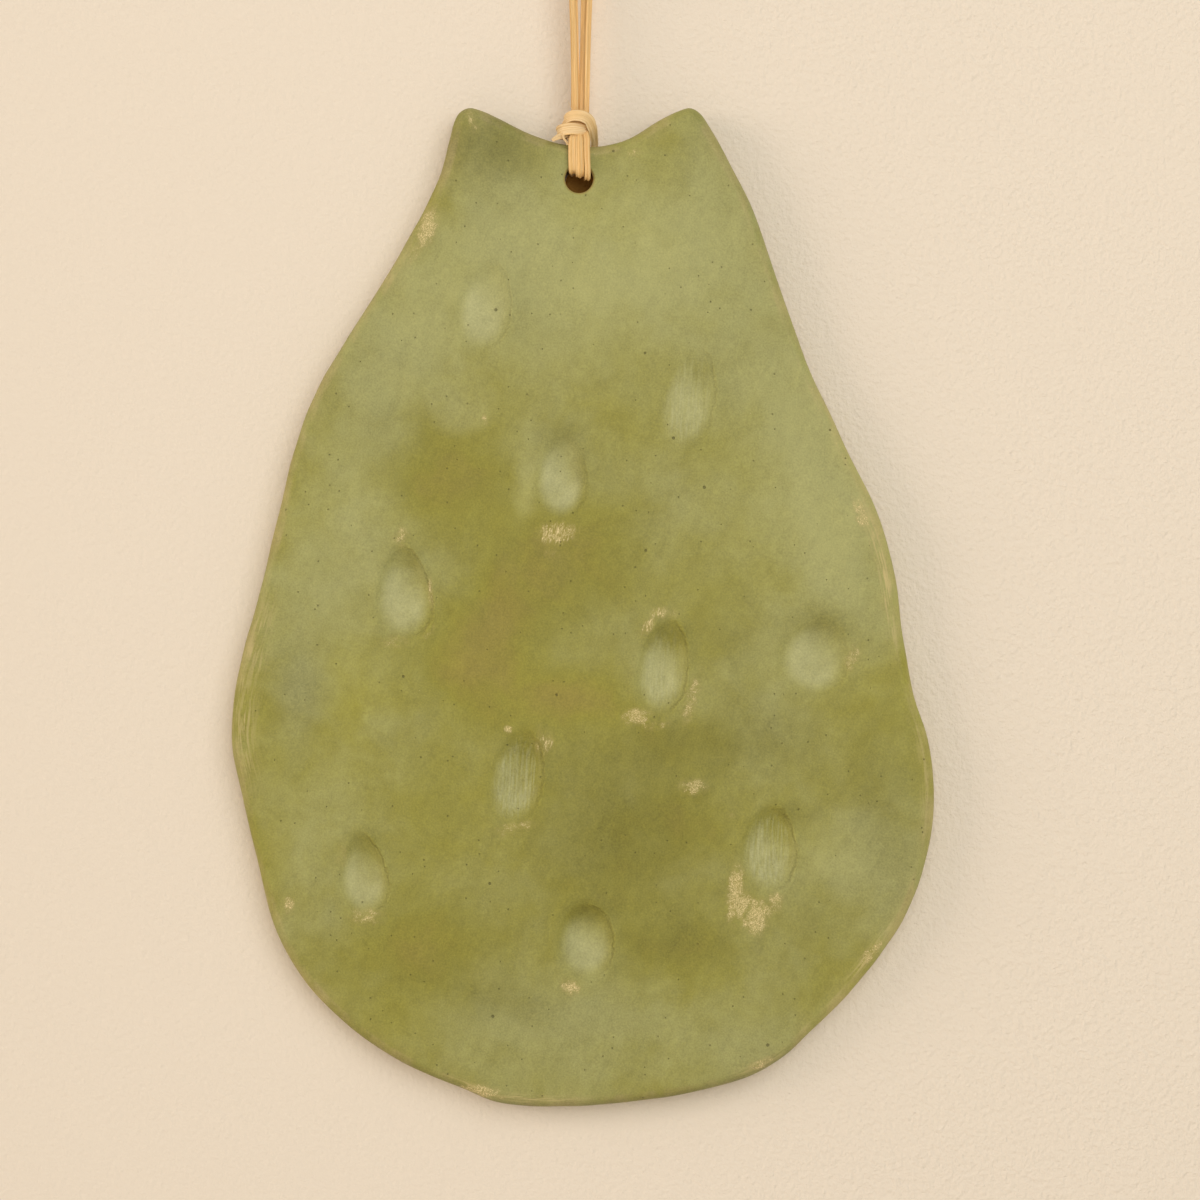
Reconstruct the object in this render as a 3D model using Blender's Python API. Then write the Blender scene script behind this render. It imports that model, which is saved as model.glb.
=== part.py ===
"""Ceramic wall plaque in the shape of a prickly pear pad, hung on a tied loop of raffia.

Axes: +X right and +Z up, seen from the front, which faces -Y. The flat back lies on y = 0.
The origin is where the raffia loop bears on its hook. Lengths below are in millimetres.
"""

import math

import bmesh
import bpy
from mathutils import Vector

MM = 0.001

# ---------------------------------------------------------------- plaque
# Widest outline of the slab, as (x, z), clockwise from the left ear.
OUTLINE = (
    (-24.5, -48.1), (-21.9, -48.6), (-17.6, -50.6), (-11.5, -53.6), (-5.0, -55.9), (2.0, -56.8),
    (9.0, -55.6), (17.6, -50.9), (21.8, -48.8), (24.3, -48.2), (26.4, -49.4), (28.5, -52.5),
    (32.6, -59.5), (37.6, -69.5), (42.6, -83.5), (49.4, -103.0), (55.1, -115.5), (66.0, -139.0),
    (69.4, -151.0), (71.1, -164.5), (73.4, -177.0), (76.5, -186.8), (77.9, -197.5), (77.0, -210.0),
    (72.2, -224.8), (63.5, -238.0), (51.0, -251.4), (44.5, -257.2), (36.0, -261.8), (24.0, -265.0),
    (2.0, -267.8), (-11.0, -267.8), (-19.0, -266.8), (-26.5, -263.8), (-37.5, -259.2),
    (-50.0, -251.0), (-60.5, -240.5), (-67.2, -228.5), (-71.2, -213.0), (-74.6, -198.5),
    (-76.6, -187.5), (-75.6, -174.5), (-71.0, -156.5), (-66.4, -138.0), (-62.4, -121.5),
    (-56.5, -107.5), (-46.5, -91.5), (-37.0, -75.5), (-31.0, -63.5), (-28.5, -54.6),
    (-27.7, -51.4), (-26.6, -49.3),
)
OUTLINE_STEPS = 4  # straight facets between two outline points
THICKNESS = 7.5
FRONT_ROUND = (2.4, 3.2)  # how far the front edge rounds over: inwards, and along the thickness
FRONT_ROUND_STEPS = 4
BACK_ROUND = ((1.5, 0.0), (0.45, -0.4), (0.0, -1.6))  # (inset, y) of the back edge

HOLE_CENTRE = (-0.2, -64.1)
HOLE_RADIUS = 3.1
HOLE_SIDES = 32

# Finger-pressed dishes in the front face: x, z, width, height, depth
DENTS = (
    (-20.3, -92.6, 11.0, 19.0, 0.6),
    (-26.4, -113.5, 17.0, 17.0, 0.35),
    (23.8, -112.4, 12.0, 21.0, 0.5),
    (-4.0, -130.0, 10.0, 15.0, 0.9),
    (-38.8, -155.8, 11.0, 18.5, 1.1),
    (18.1, -171.5, 11.0, 20.0, 1.1),
    (52.9, -169.7, 15.0, 16.0, 0.9),
    (-13.7, -195.7, 11.5, 19.5, 1.1),
    (41.4, -211.1, 12.0, 18.0, 1.2),
    (-47.2, -216.9, 10.5, 17.5, 1.0),
    (1.5, -231.4, 14.5, 16.5, 1.2),
)
DENT_SIDES = 20
BUMP = (25.1, -198.1, 8.4, 4.6, 0.6)  # raised pinch of clay: x, z, width, height, how proud

# ---------------------------------------------------------------- raffia
STRAND_RADIUS = 0.55
STRAND_STEPS = 3  # tube rings between two route points
KNOT_CENTRE = (-0.55, -4.5, -52.55)
KNOT_HALF = (4.95, 4.2, 3.45)
KNOT_POWER = 2.4  # above 2, so the knot is squarer than an egg
KNOT_SIDES = 24

# Each strand runs from the knot down the front, through the hole and up the back to the knot.
TIE_ROUTES = {
    "left": (
        (-1.7, -8.45, -55.6), (-1.75, -8.5, -57.4), (-1.75, -8.45, -59.4), (-1.7, -8.45, -61.35),
        (-1.65, -8.0, -62.5), (-1.6, -6.7, -62.9), (-1.6, -3.75, -62.7), (-1.6, -0.9, -62.5),
        (-1.6, 0.05, -62.4), (-1.6, 0.68, -62.0), (-1.6, 0.93, -61.3), (-1.6, 0.93, -59.2),
        (-1.6, 0.85, -57.3), (-1.6, 0.4, -56.0),
    ),
    "middle": (
        (-0.1, -8.5, -55.6), (-0.1, -8.55, -57.4), (-0.05, -8.55, -59.4), (0.0, -8.5, -61.6),
        (0.0, -8.2, -62.9), (0.0, -7.2, -63.6), (-0.05, -5.2, -63.5), (-0.15, -2.6, -62.8),
        (-0.2, -0.9, -62.2), (-0.2, 0.05, -62.05), (-0.2, 0.68, -61.65), (-0.2, 0.93, -60.95),
        (-0.2, 0.93, -59.0), (-0.2, 0.85, -57.3), (-0.2, 0.4, -56.0),
    ),
    "right": (
        (1.55, -8.45, -55.6), (1.55, -8.5, -57.4), (1.6, -8.5, -59.4), (1.7, -8.5, -61.8),
        (1.7, -8.3, -63.3), (1.65, -7.4, -64.2), (1.5, -5.4, -64.1), (1.3, -2.6, -63.2),
        (1.2, -0.9, -62.5), (1.2, 0.05, -62.4), (1.2, 0.68, -62.0), (1.2, 0.93, -61.3),
        (1.2, 0.93, -59.2), (1.2, 0.85, -57.3), (1.2, 0.4, -56.0),
    ),
}
# It then goes on from the knot up one side, over the hook and down the other side to the knot.
HANGER_ROUTES = {
    "left": (
        (-1.05, -5.9, -48.6), (-1.15, -5.9, -42.0), (-1.3, -5.9, -33.0), (-1.6, -5.9, -24.0),
        (-2.05, -5.9, -14.0), (-2.55, -5.9, -6.5), (-2.75, -5.9, -2.6), (-1.95, -5.9, -0.25),
        (0.0, -5.9, 0.55), (1.95, -5.9, -0.25), (2.75, -5.9, -2.6), (2.6, -5.9, -6.5),
        (2.35, -5.9, -14.0), (2.1, -5.9, -24.0), (1.8, -5.9, -33.0), (1.6, -5.9, -42.0),
        (1.45, -5.9, -48.7),
    ),
    "middle": (
        (-0.8, -4.5, -48.6), (-0.85, -4.5, -42.0), (-1.0, -4.5, -33.0), (-1.3, -4.5, -24.0),
        (-1.85, -4.5, -14.0), (-2.5, -4.5, -6.5), (-2.75, -4.5, -2.6), (-1.95, -4.5, -0.25),
        (0.0, -4.5, 0.55), (1.95, -4.5, -0.25), (2.7, -4.5, -2.6), (2.3, -4.5, -6.5),
        (1.5, -4.5, -14.0), (1.0, -4.5, -24.0), (0.8, -4.5, -33.0), (0.7, -4.5, -42.0),
        (0.65, -4.5, -48.6),
    ),
    "right": (
        (-1.4, -3.1, -48.6), (-1.35, -3.1, -42.0), (-1.5, -3.1, -33.0), (-1.75, -3.1, -24.0),
        (-2.15, -3.1, -14.0), (-2.6, -3.1, -6.5), (-2.75, -3.1, -2.6), (-1.95, -3.1, -0.25),
        (0.0, -3.1, 0.55), (1.95, -3.1, -0.25), (2.75, -3.1, -2.6), (2.5, -3.1, -6.5),
        (1.95, -3.1, -14.0), (1.4, -3.1, -24.0), (1.15, -3.1, -33.0), (0.95, -3.1, -42.0),
        (0.9, -3.1, -48.6),
    ),
}

# ---------------------------------------------------------------- finishes
GREEN_CERAMIC = ("green_ceramic", (0.26, 0.25, 0.09), 0.6)
RAFFIA = ("raffia", (0.78, 0.47, 0.19), 0.7)


def clear_scene():
    """Remove every object, so that only this model is left."""
    for obj in list(bpy.data.objects):
        bpy.data.objects.remove(obj, do_unlink=True)


def finish(name, colour, roughness):
    """Return a new Principled material."""
    material = bpy.data.materials.new(name)
    material.use_nodes = True
    shader = material.node_tree.nodes["Principled BSDF"]
    shader.inputs["Base Color"].default_value = (*colour, 1.0)
    shader.inputs["Roughness"].default_value = roughness
    shader.inputs["Metallic"].default_value = 0.0
    return material


def smooth_points(points, steps, closed):
    """Return the points of a centripetal Catmull-Rom curve, `steps` to each span."""
    ctrl = [Vector(p) for p in points]
    if closed:
        ctrl = [ctrl[-1], *ctrl, ctrl[0], ctrl[1]]
    else:
        ctrl = [2 * ctrl[0] - ctrl[1], *ctrl, 2 * ctrl[-1] - ctrl[-2]]
    out = []
    for p0, p1, p2, p3 in zip(ctrl, ctrl[1:], ctrl[2:], ctrl[3:]):
        gaps = [math.sqrt((b - a).length) for a, b in ((p0, p1), (p1, p2), (p2, p3))]
        leave = ((p1 - p0) / gaps[0] - (p2 - p0) / (gaps[0] + gaps[1]) + (p2 - p1) / gaps[1]) * gaps[1]
        arrive = ((p2 - p1) / gaps[1] - (p3 - p1) / (gaps[1] + gaps[2]) + (p3 - p2) / gaps[2]) * gaps[1]
        for step in range(steps):
            t = step / steps
            out.append(
                p1 * (2 * t**3 - 3 * t**2 + 1)
                + leave * (t**3 - 2 * t**2 + t)
                + p2 * (3 * t**2 - 2 * t**3)
                + arrive * (t**3 - t**2)
            )
    if not closed:
        out.append(ctrl[-2])
    return out


def add_object(name, data, material=None):
    """Link a mesh or curve as a new object."""
    obj = bpy.data.objects.new(name, data)
    bpy.context.collection.objects.link(obj)
    if material:
        data.materials.append(material)
    return obj


def mesh_from(bm, name, smooth_angle=math.radians(40)):
    """Turn a bmesh into a mesh that is shaded smooth except at sharp edges."""
    bm.normal_update()
    bmesh.ops.recalc_face_normals(bm, faces=bm.faces)
    mesh = bpy.data.meshes.new(name)
    bm.to_mesh(mesh)
    bm.free()
    mesh.shade_smooth()
    mesh.set_sharp_from_angle(angle=smooth_angle)
    return mesh


def inset_ring(outline, inset, y):
    """Return the outline moved inwards by `inset`, at depth y, in metres."""
    ring = []
    for index, here in enumerate(outline):
        along = outline[(index + 1) % len(outline)] - outline[index - 1]
        inwards = Vector((along.y, -along.x)).normalized()
        point = here + inwards * inset
        ring.append(Vector((point.x, y, point.y)) * MM)
    return ring


def edge_profile():
    """Return (inset, y) steps from the back face round the rim to the front face."""
    inwards, deep = FRONT_ROUND
    steps = list(BACK_ROUND)
    for step in range(FRONT_ROUND_STEPS + 1):
        angle = math.pi / 2 * step / FRONT_ROUND_STEPS
        steps.append((inwards * (1 - math.cos(angle)), -(THICKNESS - deep) - deep * math.sin(angle)))
    return steps


def slab_mesh():
    """Loft the rounded rim through its rings and close the two faces."""
    outline = smooth_points(OUTLINE, OUTLINE_STEPS, closed=True)
    bm = bmesh.new()
    rings = [[bm.verts.new(p) for p in inset_ring(outline, *step)] for step in edge_profile()]
    count = len(outline)
    for low, high in zip(rings, rings[1:]):
        for i in range(count):
            j = (i + 1) % count
            bm.faces.new((low[i], low[j], high[j], high[i]))
    faces = [bm.faces.new(rings[0]), bm.faces.new(rings[-1])]
    bmesh.ops.triangulate(bm, faces=faces)
    return mesh_from(bm, "ceramic_plaque")


def ellipsoid(bm, centre, half_sizes, sides):
    """Add a stretched sphere, its poles along Y; centre and half sizes are in millimetres."""
    made = bmesh.ops.create_uvsphere(bm, u_segments=sides, v_segments=sides // 2, radius=1.0)
    for vert in made["verts"]:
        turned = (vert.co.x, -vert.co.z, vert.co.y)
        vert.co = Vector([(c + v * h) * MM for c, v, h in zip(centre, turned, half_sizes)])


def lens(bm, spot, sign):
    """Add the ellipsoid that reaches |depth| past the front face; sign +1 cuts in, -1 stands proud.

    Its centre is one depth on the other side of the face, so it meets the face at its stated
    width and height, at 30 degrees up its own latitude.
    """
    x, z, width, height, depth = spot
    at_face = math.cos(math.asin(0.5))
    centre = (x, -THICKNESS - sign * depth, z)
    ellipsoid(bm, centre, (width / 2 / at_face, 2 * depth, height / 2 / at_face), DENT_SIDES)


def cutter_object(name, bm):
    """Keep a bmesh as a hidden helper of a Boolean modifier."""
    obj = add_object(name, mesh_from(bm, name))
    obj.hide_render = True
    obj.display_type = "WIRE"
    return obj


def apply_boolean(target, helper, operation):
    """Put an exact Boolean on the target."""
    modifier = target.modifiers.new(helper.name, "BOOLEAN")
    modifier.solver = "EXACT"
    modifier.operation = operation
    modifier.object = helper


def build_plaque(material):
    """Make the slab with its finger dents, its raised pinch and its hanging hole."""
    plaque = add_object("ceramic_plaque", slab_mesh(), material)

    dents = bmesh.new()
    for spot in DENTS:
        lens(dents, spot, 1)
    apply_boolean(plaque, cutter_object("dent_cutters", dents), "DIFFERENCE")

    bump = bmesh.new()
    lens(bump, BUMP, -1)
    apply_boolean(plaque, cutter_object("bump_former", bump), "UNION")

    drill = bmesh.new()
    bmesh.ops.create_cone(
        drill, cap_ends=True, segments=HOLE_SIDES,
        radius1=HOLE_RADIUS * MM, radius2=HOLE_RADIUS * MM, depth=3 * THICKNESS * MM,
    )
    for vert in drill.verts:
        x, y, z = vert.co
        vert.co = Vector((x + HOLE_CENTRE[0] * MM, -z, y + HOLE_CENTRE[1] * MM))
    apply_boolean(plaque, cutter_object("hole_drill", drill), "DIFFERENCE")


def build_knot(material):
    """Make the knot's solid: a squarish egg above the rim of the plaque."""
    bm = bmesh.new()
    bmesh.ops.create_uvsphere(bm, u_segments=KNOT_SIDES, v_segments=KNOT_SIDES // 2, radius=1.0)
    for vert in bm.verts:
        swell = sum(abs(v) ** KNOT_POWER for v in vert.co) ** (-1 / KNOT_POWER)
        vert.co = Vector([(c + v * swell * h) * MM for c, v, h in zip(KNOT_CENTRE, vert.co, KNOT_HALF)])
    add_object("raffia_knot", mesh_from(bm, "raffia_knot"), material)


def build_strand(name, route, material):
    """Make one stretch of raffia as a round tube along a smooth curve."""
    curve = bpy.data.curves.new(name, "CURVE")
    curve.dimensions = "3D"
    curve.bevel_depth = STRAND_RADIUS * MM
    curve.bevel_resolution = 2
    curve.use_fill_caps = True
    points = smooth_points(route, STRAND_STEPS, closed=False)
    spline = curve.splines.new("POLY")
    spline.points.add(len(points) - 1)
    for target, point in zip(spline.points, points):
        target.co = (*(point * MM), 1.0)
    add_object(name, curve, material)


def main():
    """Build the whole part."""
    clear_scene()
    raffia = finish(*RAFFIA)
    build_plaque(finish(*GREEN_CERAMIC))
    build_knot(raffia)
    for side, route in TIE_ROUTES.items():
        build_strand(f"raffia_tie_{side}", route, raffia)
    for side, route in HANGER_ROUTES.items():
        build_strand(f"raffia_hanger_{side}", route, raffia)


main()
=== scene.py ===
"""Look of the green ceramic pad plaque and its raffia hanger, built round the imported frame.

Seen from the front the plaque faces -Y, with +X to the right and +Z up. The frame's origin is
where the raffia loop bears on its hook. Sizes in the classes below are in millimetres, as in
the CAD model, and become metres where a mesh is made.
"""

import logging
import math
from dataclasses import dataclass
from enum import Enum
from typing import Any, Callable, Sequence

import bpy
import numpy as np
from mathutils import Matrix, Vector, kdtree
from mathutils.geometry import delaunay_2d_cdt


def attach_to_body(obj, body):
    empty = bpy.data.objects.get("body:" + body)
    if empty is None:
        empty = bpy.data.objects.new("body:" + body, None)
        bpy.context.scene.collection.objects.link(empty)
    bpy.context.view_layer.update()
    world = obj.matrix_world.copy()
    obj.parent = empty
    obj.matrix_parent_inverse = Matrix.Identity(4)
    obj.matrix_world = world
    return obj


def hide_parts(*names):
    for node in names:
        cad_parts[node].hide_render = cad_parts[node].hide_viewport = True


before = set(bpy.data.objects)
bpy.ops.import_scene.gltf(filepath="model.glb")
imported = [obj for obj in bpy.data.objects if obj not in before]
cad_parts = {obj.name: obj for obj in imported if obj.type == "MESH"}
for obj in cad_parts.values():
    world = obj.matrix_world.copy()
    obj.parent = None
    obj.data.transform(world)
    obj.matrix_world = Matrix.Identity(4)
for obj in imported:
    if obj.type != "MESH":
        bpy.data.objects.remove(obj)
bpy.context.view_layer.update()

LOG = logging.getLogger("plaque")
MM = 0.001
BODY = "root"

Colour = tuple[float, float, float]
Point3 = tuple[float, float, float]
Socket = bpy.types.NodeSocket


class Mark(str, Enum):
    """Names of the attributes that the clay's mesh hands to its glaze."""

    POOL_AND_HIGHLIGHT = "pool"
    SPECKLE = "worn_speckle"
    STREAK = "worn_streak"
    LINES = "finger_lines"
    LIGHT = "light"
    COOL = "cool"
    REACH = "dent_reach"
    EDGE = "dent_edge"
    RIM = "rim"
    BARE_AND_HOLE_SHADE = "bare_clay_and_hole_shade"
    FROM_EDGE = "from_edge"
    ALONG_EDGE = "along_edge"
    BRUSHED = "brushed_edge"


class Wear(Enum):
    """How glaze has rubbed off a high spot: in grains, or in strokes up and down."""

    GRAINS = Mark.SPECKLE
    STROKES = Mark.STREAK


# ------------------------------------------------------------------ curves and fields


def spline_points(points: np.ndarray, closed: bool, steps: int = 24) -> np.ndarray:
    """Evaluate a centripetal Catmull-Rom curve.

    Args:
        points: The curve's own points, one a row.
        closed: Whether the last point joins the first.
        steps: Points worked out for each span.

    Returns:
        Closely spaced points on the curve, one a row.
    """
    if closed:
        ctrl = np.vstack([points[-1:], points, points[:2]])
    else:
        ctrl = np.vstack([2 * points[0] - points[1], points, 2 * points[-1] - points[-2]])
    p0, p1, p2, p3 = ctrl[:-3], ctrl[1:-2], ctrl[2:-1], ctrl[3:]
    g0, g1, g2 = (
        np.sqrt(np.linalg.norm(b - a, axis=1))[:, None] for a, b in ((p0, p1), (p1, p2), (p2, p3))
    )
    leave = ((p1 - p0) / g0 - (p2 - p0) / (g0 + g1) + (p2 - p1) / g1) * g1
    arrive = ((p2 - p1) / g1 - (p3 - p1) / (g1 + g2) + (p3 - p2) / g2) * g1
    t = (np.arange(steps) / steps)[None, :, None]
    spans = (
        p1[:, None] * (2 * t**3 - 3 * t**2 + 1)
        + leave[:, None] * (t**3 - 2 * t**2 + t)
        + p2[:, None] * (3 * t**2 - 2 * t**3)
        + arrive[:, None] * (t**3 - t**2)
    )
    out = spans.reshape(-1, points.shape[1])
    return out if closed else np.vstack([out, points[-1:]])


def even_points(points: Sequence[Sequence[float]], spacing: float, closed: bool = False) -> np.ndarray:
    """Return points at even steps along the smooth curve through the given ones.

    Args:
        points: The curve's own points.
        spacing: The step wanted, in the points' own unit.
        closed: Whether the curve is a loop.

    Returns:
        Points one a row. A loop's first point isn't repeated at its end.
    """
    dense = spline_points(np.asarray(points, float), closed)
    if closed:
        dense = np.vstack([dense, dense[:1]])
    gone = np.concatenate([[0.0], np.cumsum(np.linalg.norm(np.diff(dense, axis=0), axis=1))])
    count = max(2, round(gone[-1] / spacing))
    stops = np.linspace(0.0, gone[-1], count + 1)[: count if closed else count + 1]
    return np.column_stack([np.interp(stops, gone, column) for column in dense.T])


def ease(value: np.ndarray, low: float, high: float) -> np.ndarray:
    """Rise smoothly from 0 at low to 1 at high."""
    t = np.clip((value - low) / (high - low), 0.0, 1.0)
    return t * t * (3 - 2 * t)


@dataclass(frozen=True)
class Waves:
    """A gentle random field, the sum of plane waves of many lengths and directions.

    Attributes:
        seed: Fixes the directions and phases.
        shortest: Shortest wave, in millimetres.
        longest: Longest wave, in millimetres.
        count: How many waves are summed.
    """

    seed: int
    shortest: float
    longest: float
    count: int = 18

    def __call__(self, x: np.ndarray, z: np.ndarray) -> np.ndarray:
        """Return the field at each place, mostly between -1 and 1."""
        rng = np.random.default_rng(self.seed)
        lengths = np.geomspace(self.shortest, self.longest, self.count)
        angles = rng.uniform(0.0, 2 * math.pi, self.count)
        phases = rng.uniform(0.0, 2 * math.pi, self.count)
        total = np.zeros_like(x, dtype=float)
        for length, angle, phase in zip(lengths, angles, phases):
            along = x * math.cos(angle) + z * math.sin(angle)
            total += np.sin(along * 2 * math.pi / length + phase)
        return total / math.sqrt(self.count)


@dataclass(frozen=True)
class Spot:
    """An oval place on the front of the clay.

    Attributes:
        x: Middle, to the right.
        z: Middle, up.
        half_width: Half its width before it is turned.
        half_height: Half its height before it is turned.
        lean: How far its top leans to the right, in degrees.
    """

    x: float
    z: float
    half_width: float
    half_height: float
    lean: float = 0.0

    def local(self, x: np.ndarray, z: np.ndarray) -> tuple[np.ndarray, np.ndarray]:
        """Return places in the spot's own axes, where its edge is at 1.

        Args:
            x: Places to the right.
            z: Places up.

        Returns:
            The share of the half width to the right, and of the half height up.
        """
        turn = math.radians(self.lean)
        right, up = x - self.x, z - self.z
        across = right * math.cos(turn) - up * math.sin(turn)
        along = right * math.sin(turn) + up * math.cos(turn)
        return across / self.half_width, along / self.half_height

    def radius(self, x: np.ndarray, z: np.ndarray) -> np.ndarray:
        """Return how far out each place is, with 1 at the spot's edge."""
        return np.hypot(*self.local(x, z))


@dataclass(frozen=True)
class Dent(Spot):
    """A dish pressed into soft clay by a fingertip.

    Attributes:
        depth: How deep its floor lies.
        crisp: 1 for an even bowl, more for a flatter floor with steeper sides.
        lip: How far the clay pushed out round it stands proud.
        point: How far the top narrows to an egg's point, from 0 to 0.5.
        lined: Strength of the fine lines a fingertip left on its floor.
        pool: How far glaze gathered in it, and how strongly its lower left is painted lighter as a painted
            highlight, from 0 to 1.
        edge: Strength of the fine crease along its right side, which is bumped and also painted darker as
            painted shade, with a painted highlight on the ridge beside it, from 0 to 1.
        press: How far the deepest place lies up and to the right of the middle.
    """

    depth: float = 1.0
    crisp: float = 1.4
    lip: float = 0.12
    point: float = 0.15
    lined: float = 0.0
    pool: float = 0.8
    edge: float = 0.6
    press: float = 0.22

    SETTLED = 0.86

    def reach(self, x: np.ndarray, z: np.ndarray) -> np.ndarray:
        """Return the share of the way from the middle to the dent's egg-shaped edge."""
        across, along = self.local(x, z)
        return np.hypot(across / (1 - self.point * np.clip(along, -1.2, 1.2)), along)

    def drop(self, x: np.ndarray, z: np.ndarray) -> np.ndarray:
        """Return how far the surface lies behind the flat face, less where the lip stands proud."""
        reach = self.reach(x, z)
        across, along = self.local(x, z)
        shift = self.press * np.clip(1 - reach**2, 0.0, 1.0)
        middle_out = np.maximum(np.hypot(across, along), 1e-6)
        pressed = reach * np.hypot(across - shift, along - shift) / middle_out
        bowl = np.clip(1 - pressed ** (2 * self.crisp), 0.0, 1.0) ** 1.5
        lip = np.exp(-(((reach - 1.13) / 0.17) ** 2))
        return self.SETTLED * self.depth * bowl - self.lip * lip


@dataclass(frozen=True)
class Worn(Spot):
    """A place where the glaze has rubbed off down to the buff clay.

    Attributes:
        strength: How bare its middle is, from 0 to 1.
        wear: What the rubbed glaze looks like.
    """

    strength: float = 0.7
    wear: Wear = Wear.GRAINS

    def amount(self, x: np.ndarray, z: np.ndarray) -> np.ndarray:
        """Return how bare each place is."""
        return self.strength * (1 - ease(self.radius(x, z), 0.1, 1.45))


@dataclass(frozen=True)
class Brushed(Spot):
    """A stretch of the edge where a sponge has wiped the glaze thin, in streaks along the edge.

    Attributes:
        strength: How thin its middle is, from 0 to 1.
        inset: How far inside the outline the streaks run, in millimetres.
        reach: How far they spread to each side of that, in millimetres.
    """

    strength: float = 0.8
    inset: float = 2.4
    reach: float = 1.2

    def amount(self, x: np.ndarray, z: np.ndarray, edge: np.ndarray) -> np.ndarray:
        """Return how thin the glaze is at places whose distance from the outline is edge."""
        band = np.exp(-(((edge - self.inset) / self.reach) ** 2))
        return self.strength * band * (1 - ease(self.radius(x, z), 0.3, 1.2))


@dataclass(frozen=True)
class Cloud(Spot):
    """A soft patch in the glaze. Broad ones change its tone; small ones on the dents' upper and right sides
    are painted shade, and one on a dent's left side is a painted highlight.

    Attributes:
        light: Above 0 where the patch is paler than the glaze round it, below 0 where darker.
        cool: Above 0 for a greyer, sage green, below 0 for an olive that turns to brown.
    """

    light: float = 0.0
    cool: float = 0.0

    def share(self, x: np.ndarray, z: np.ndarray) -> np.ndarray:
        """Return how far each place belongs to the cloud."""
        return np.exp(-1.1 * self.radius(x, z) ** 2)


# ------------------------------------------------------------------ materials


class Wiring:
    """Short calls that add nodes to one node tree."""

    tree: bpy.types.NodeTree

    def feed(self, socket: Socket, value: Any) -> None:
        """Link value to the socket if it is a socket, or else set it there."""
        if isinstance(value, bpy.types.NodeSocket):
            self.tree.links.new(value, socket)
        elif isinstance(value, tuple) and len(value) == 3 and socket.type == "RGBA":
            socket.default_value = (*value, 1.0)
        else:
            socket.default_value = value

    def node(self, kind: str, settings: dict[str, Any], inputs: dict[Any, Any]) -> bpy.types.Node:
        """Add a node.

        Args:
            kind: The node's type name.
            settings: Values of its properties.
            inputs: What goes into its sockets, by name or number.

        Returns:
            The new node.
        """
        made = self.tree.nodes.new(kind)
        for key, value in settings.items():
            setattr(made, key, value)
        for key, value in inputs.items():
            self.feed(made.inputs[key], value)
        return made

    def plus(self, first: Any, second: Any) -> Socket:
        """Return the sum of two values."""
        return self.sum("ADD", first, second)

    def times(self, first: Any, second: Any) -> Socket:
        """Return the product of two values."""
        return self.sum("MULTIPLY", first, second)

    def sum(self, operation: str, *values: Any) -> Socket:
        """Return the result of one arithmetic step."""
        return self.node("ShaderNodeMath", {"operation": operation}, dict(enumerate(values))).outputs[0]


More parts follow.
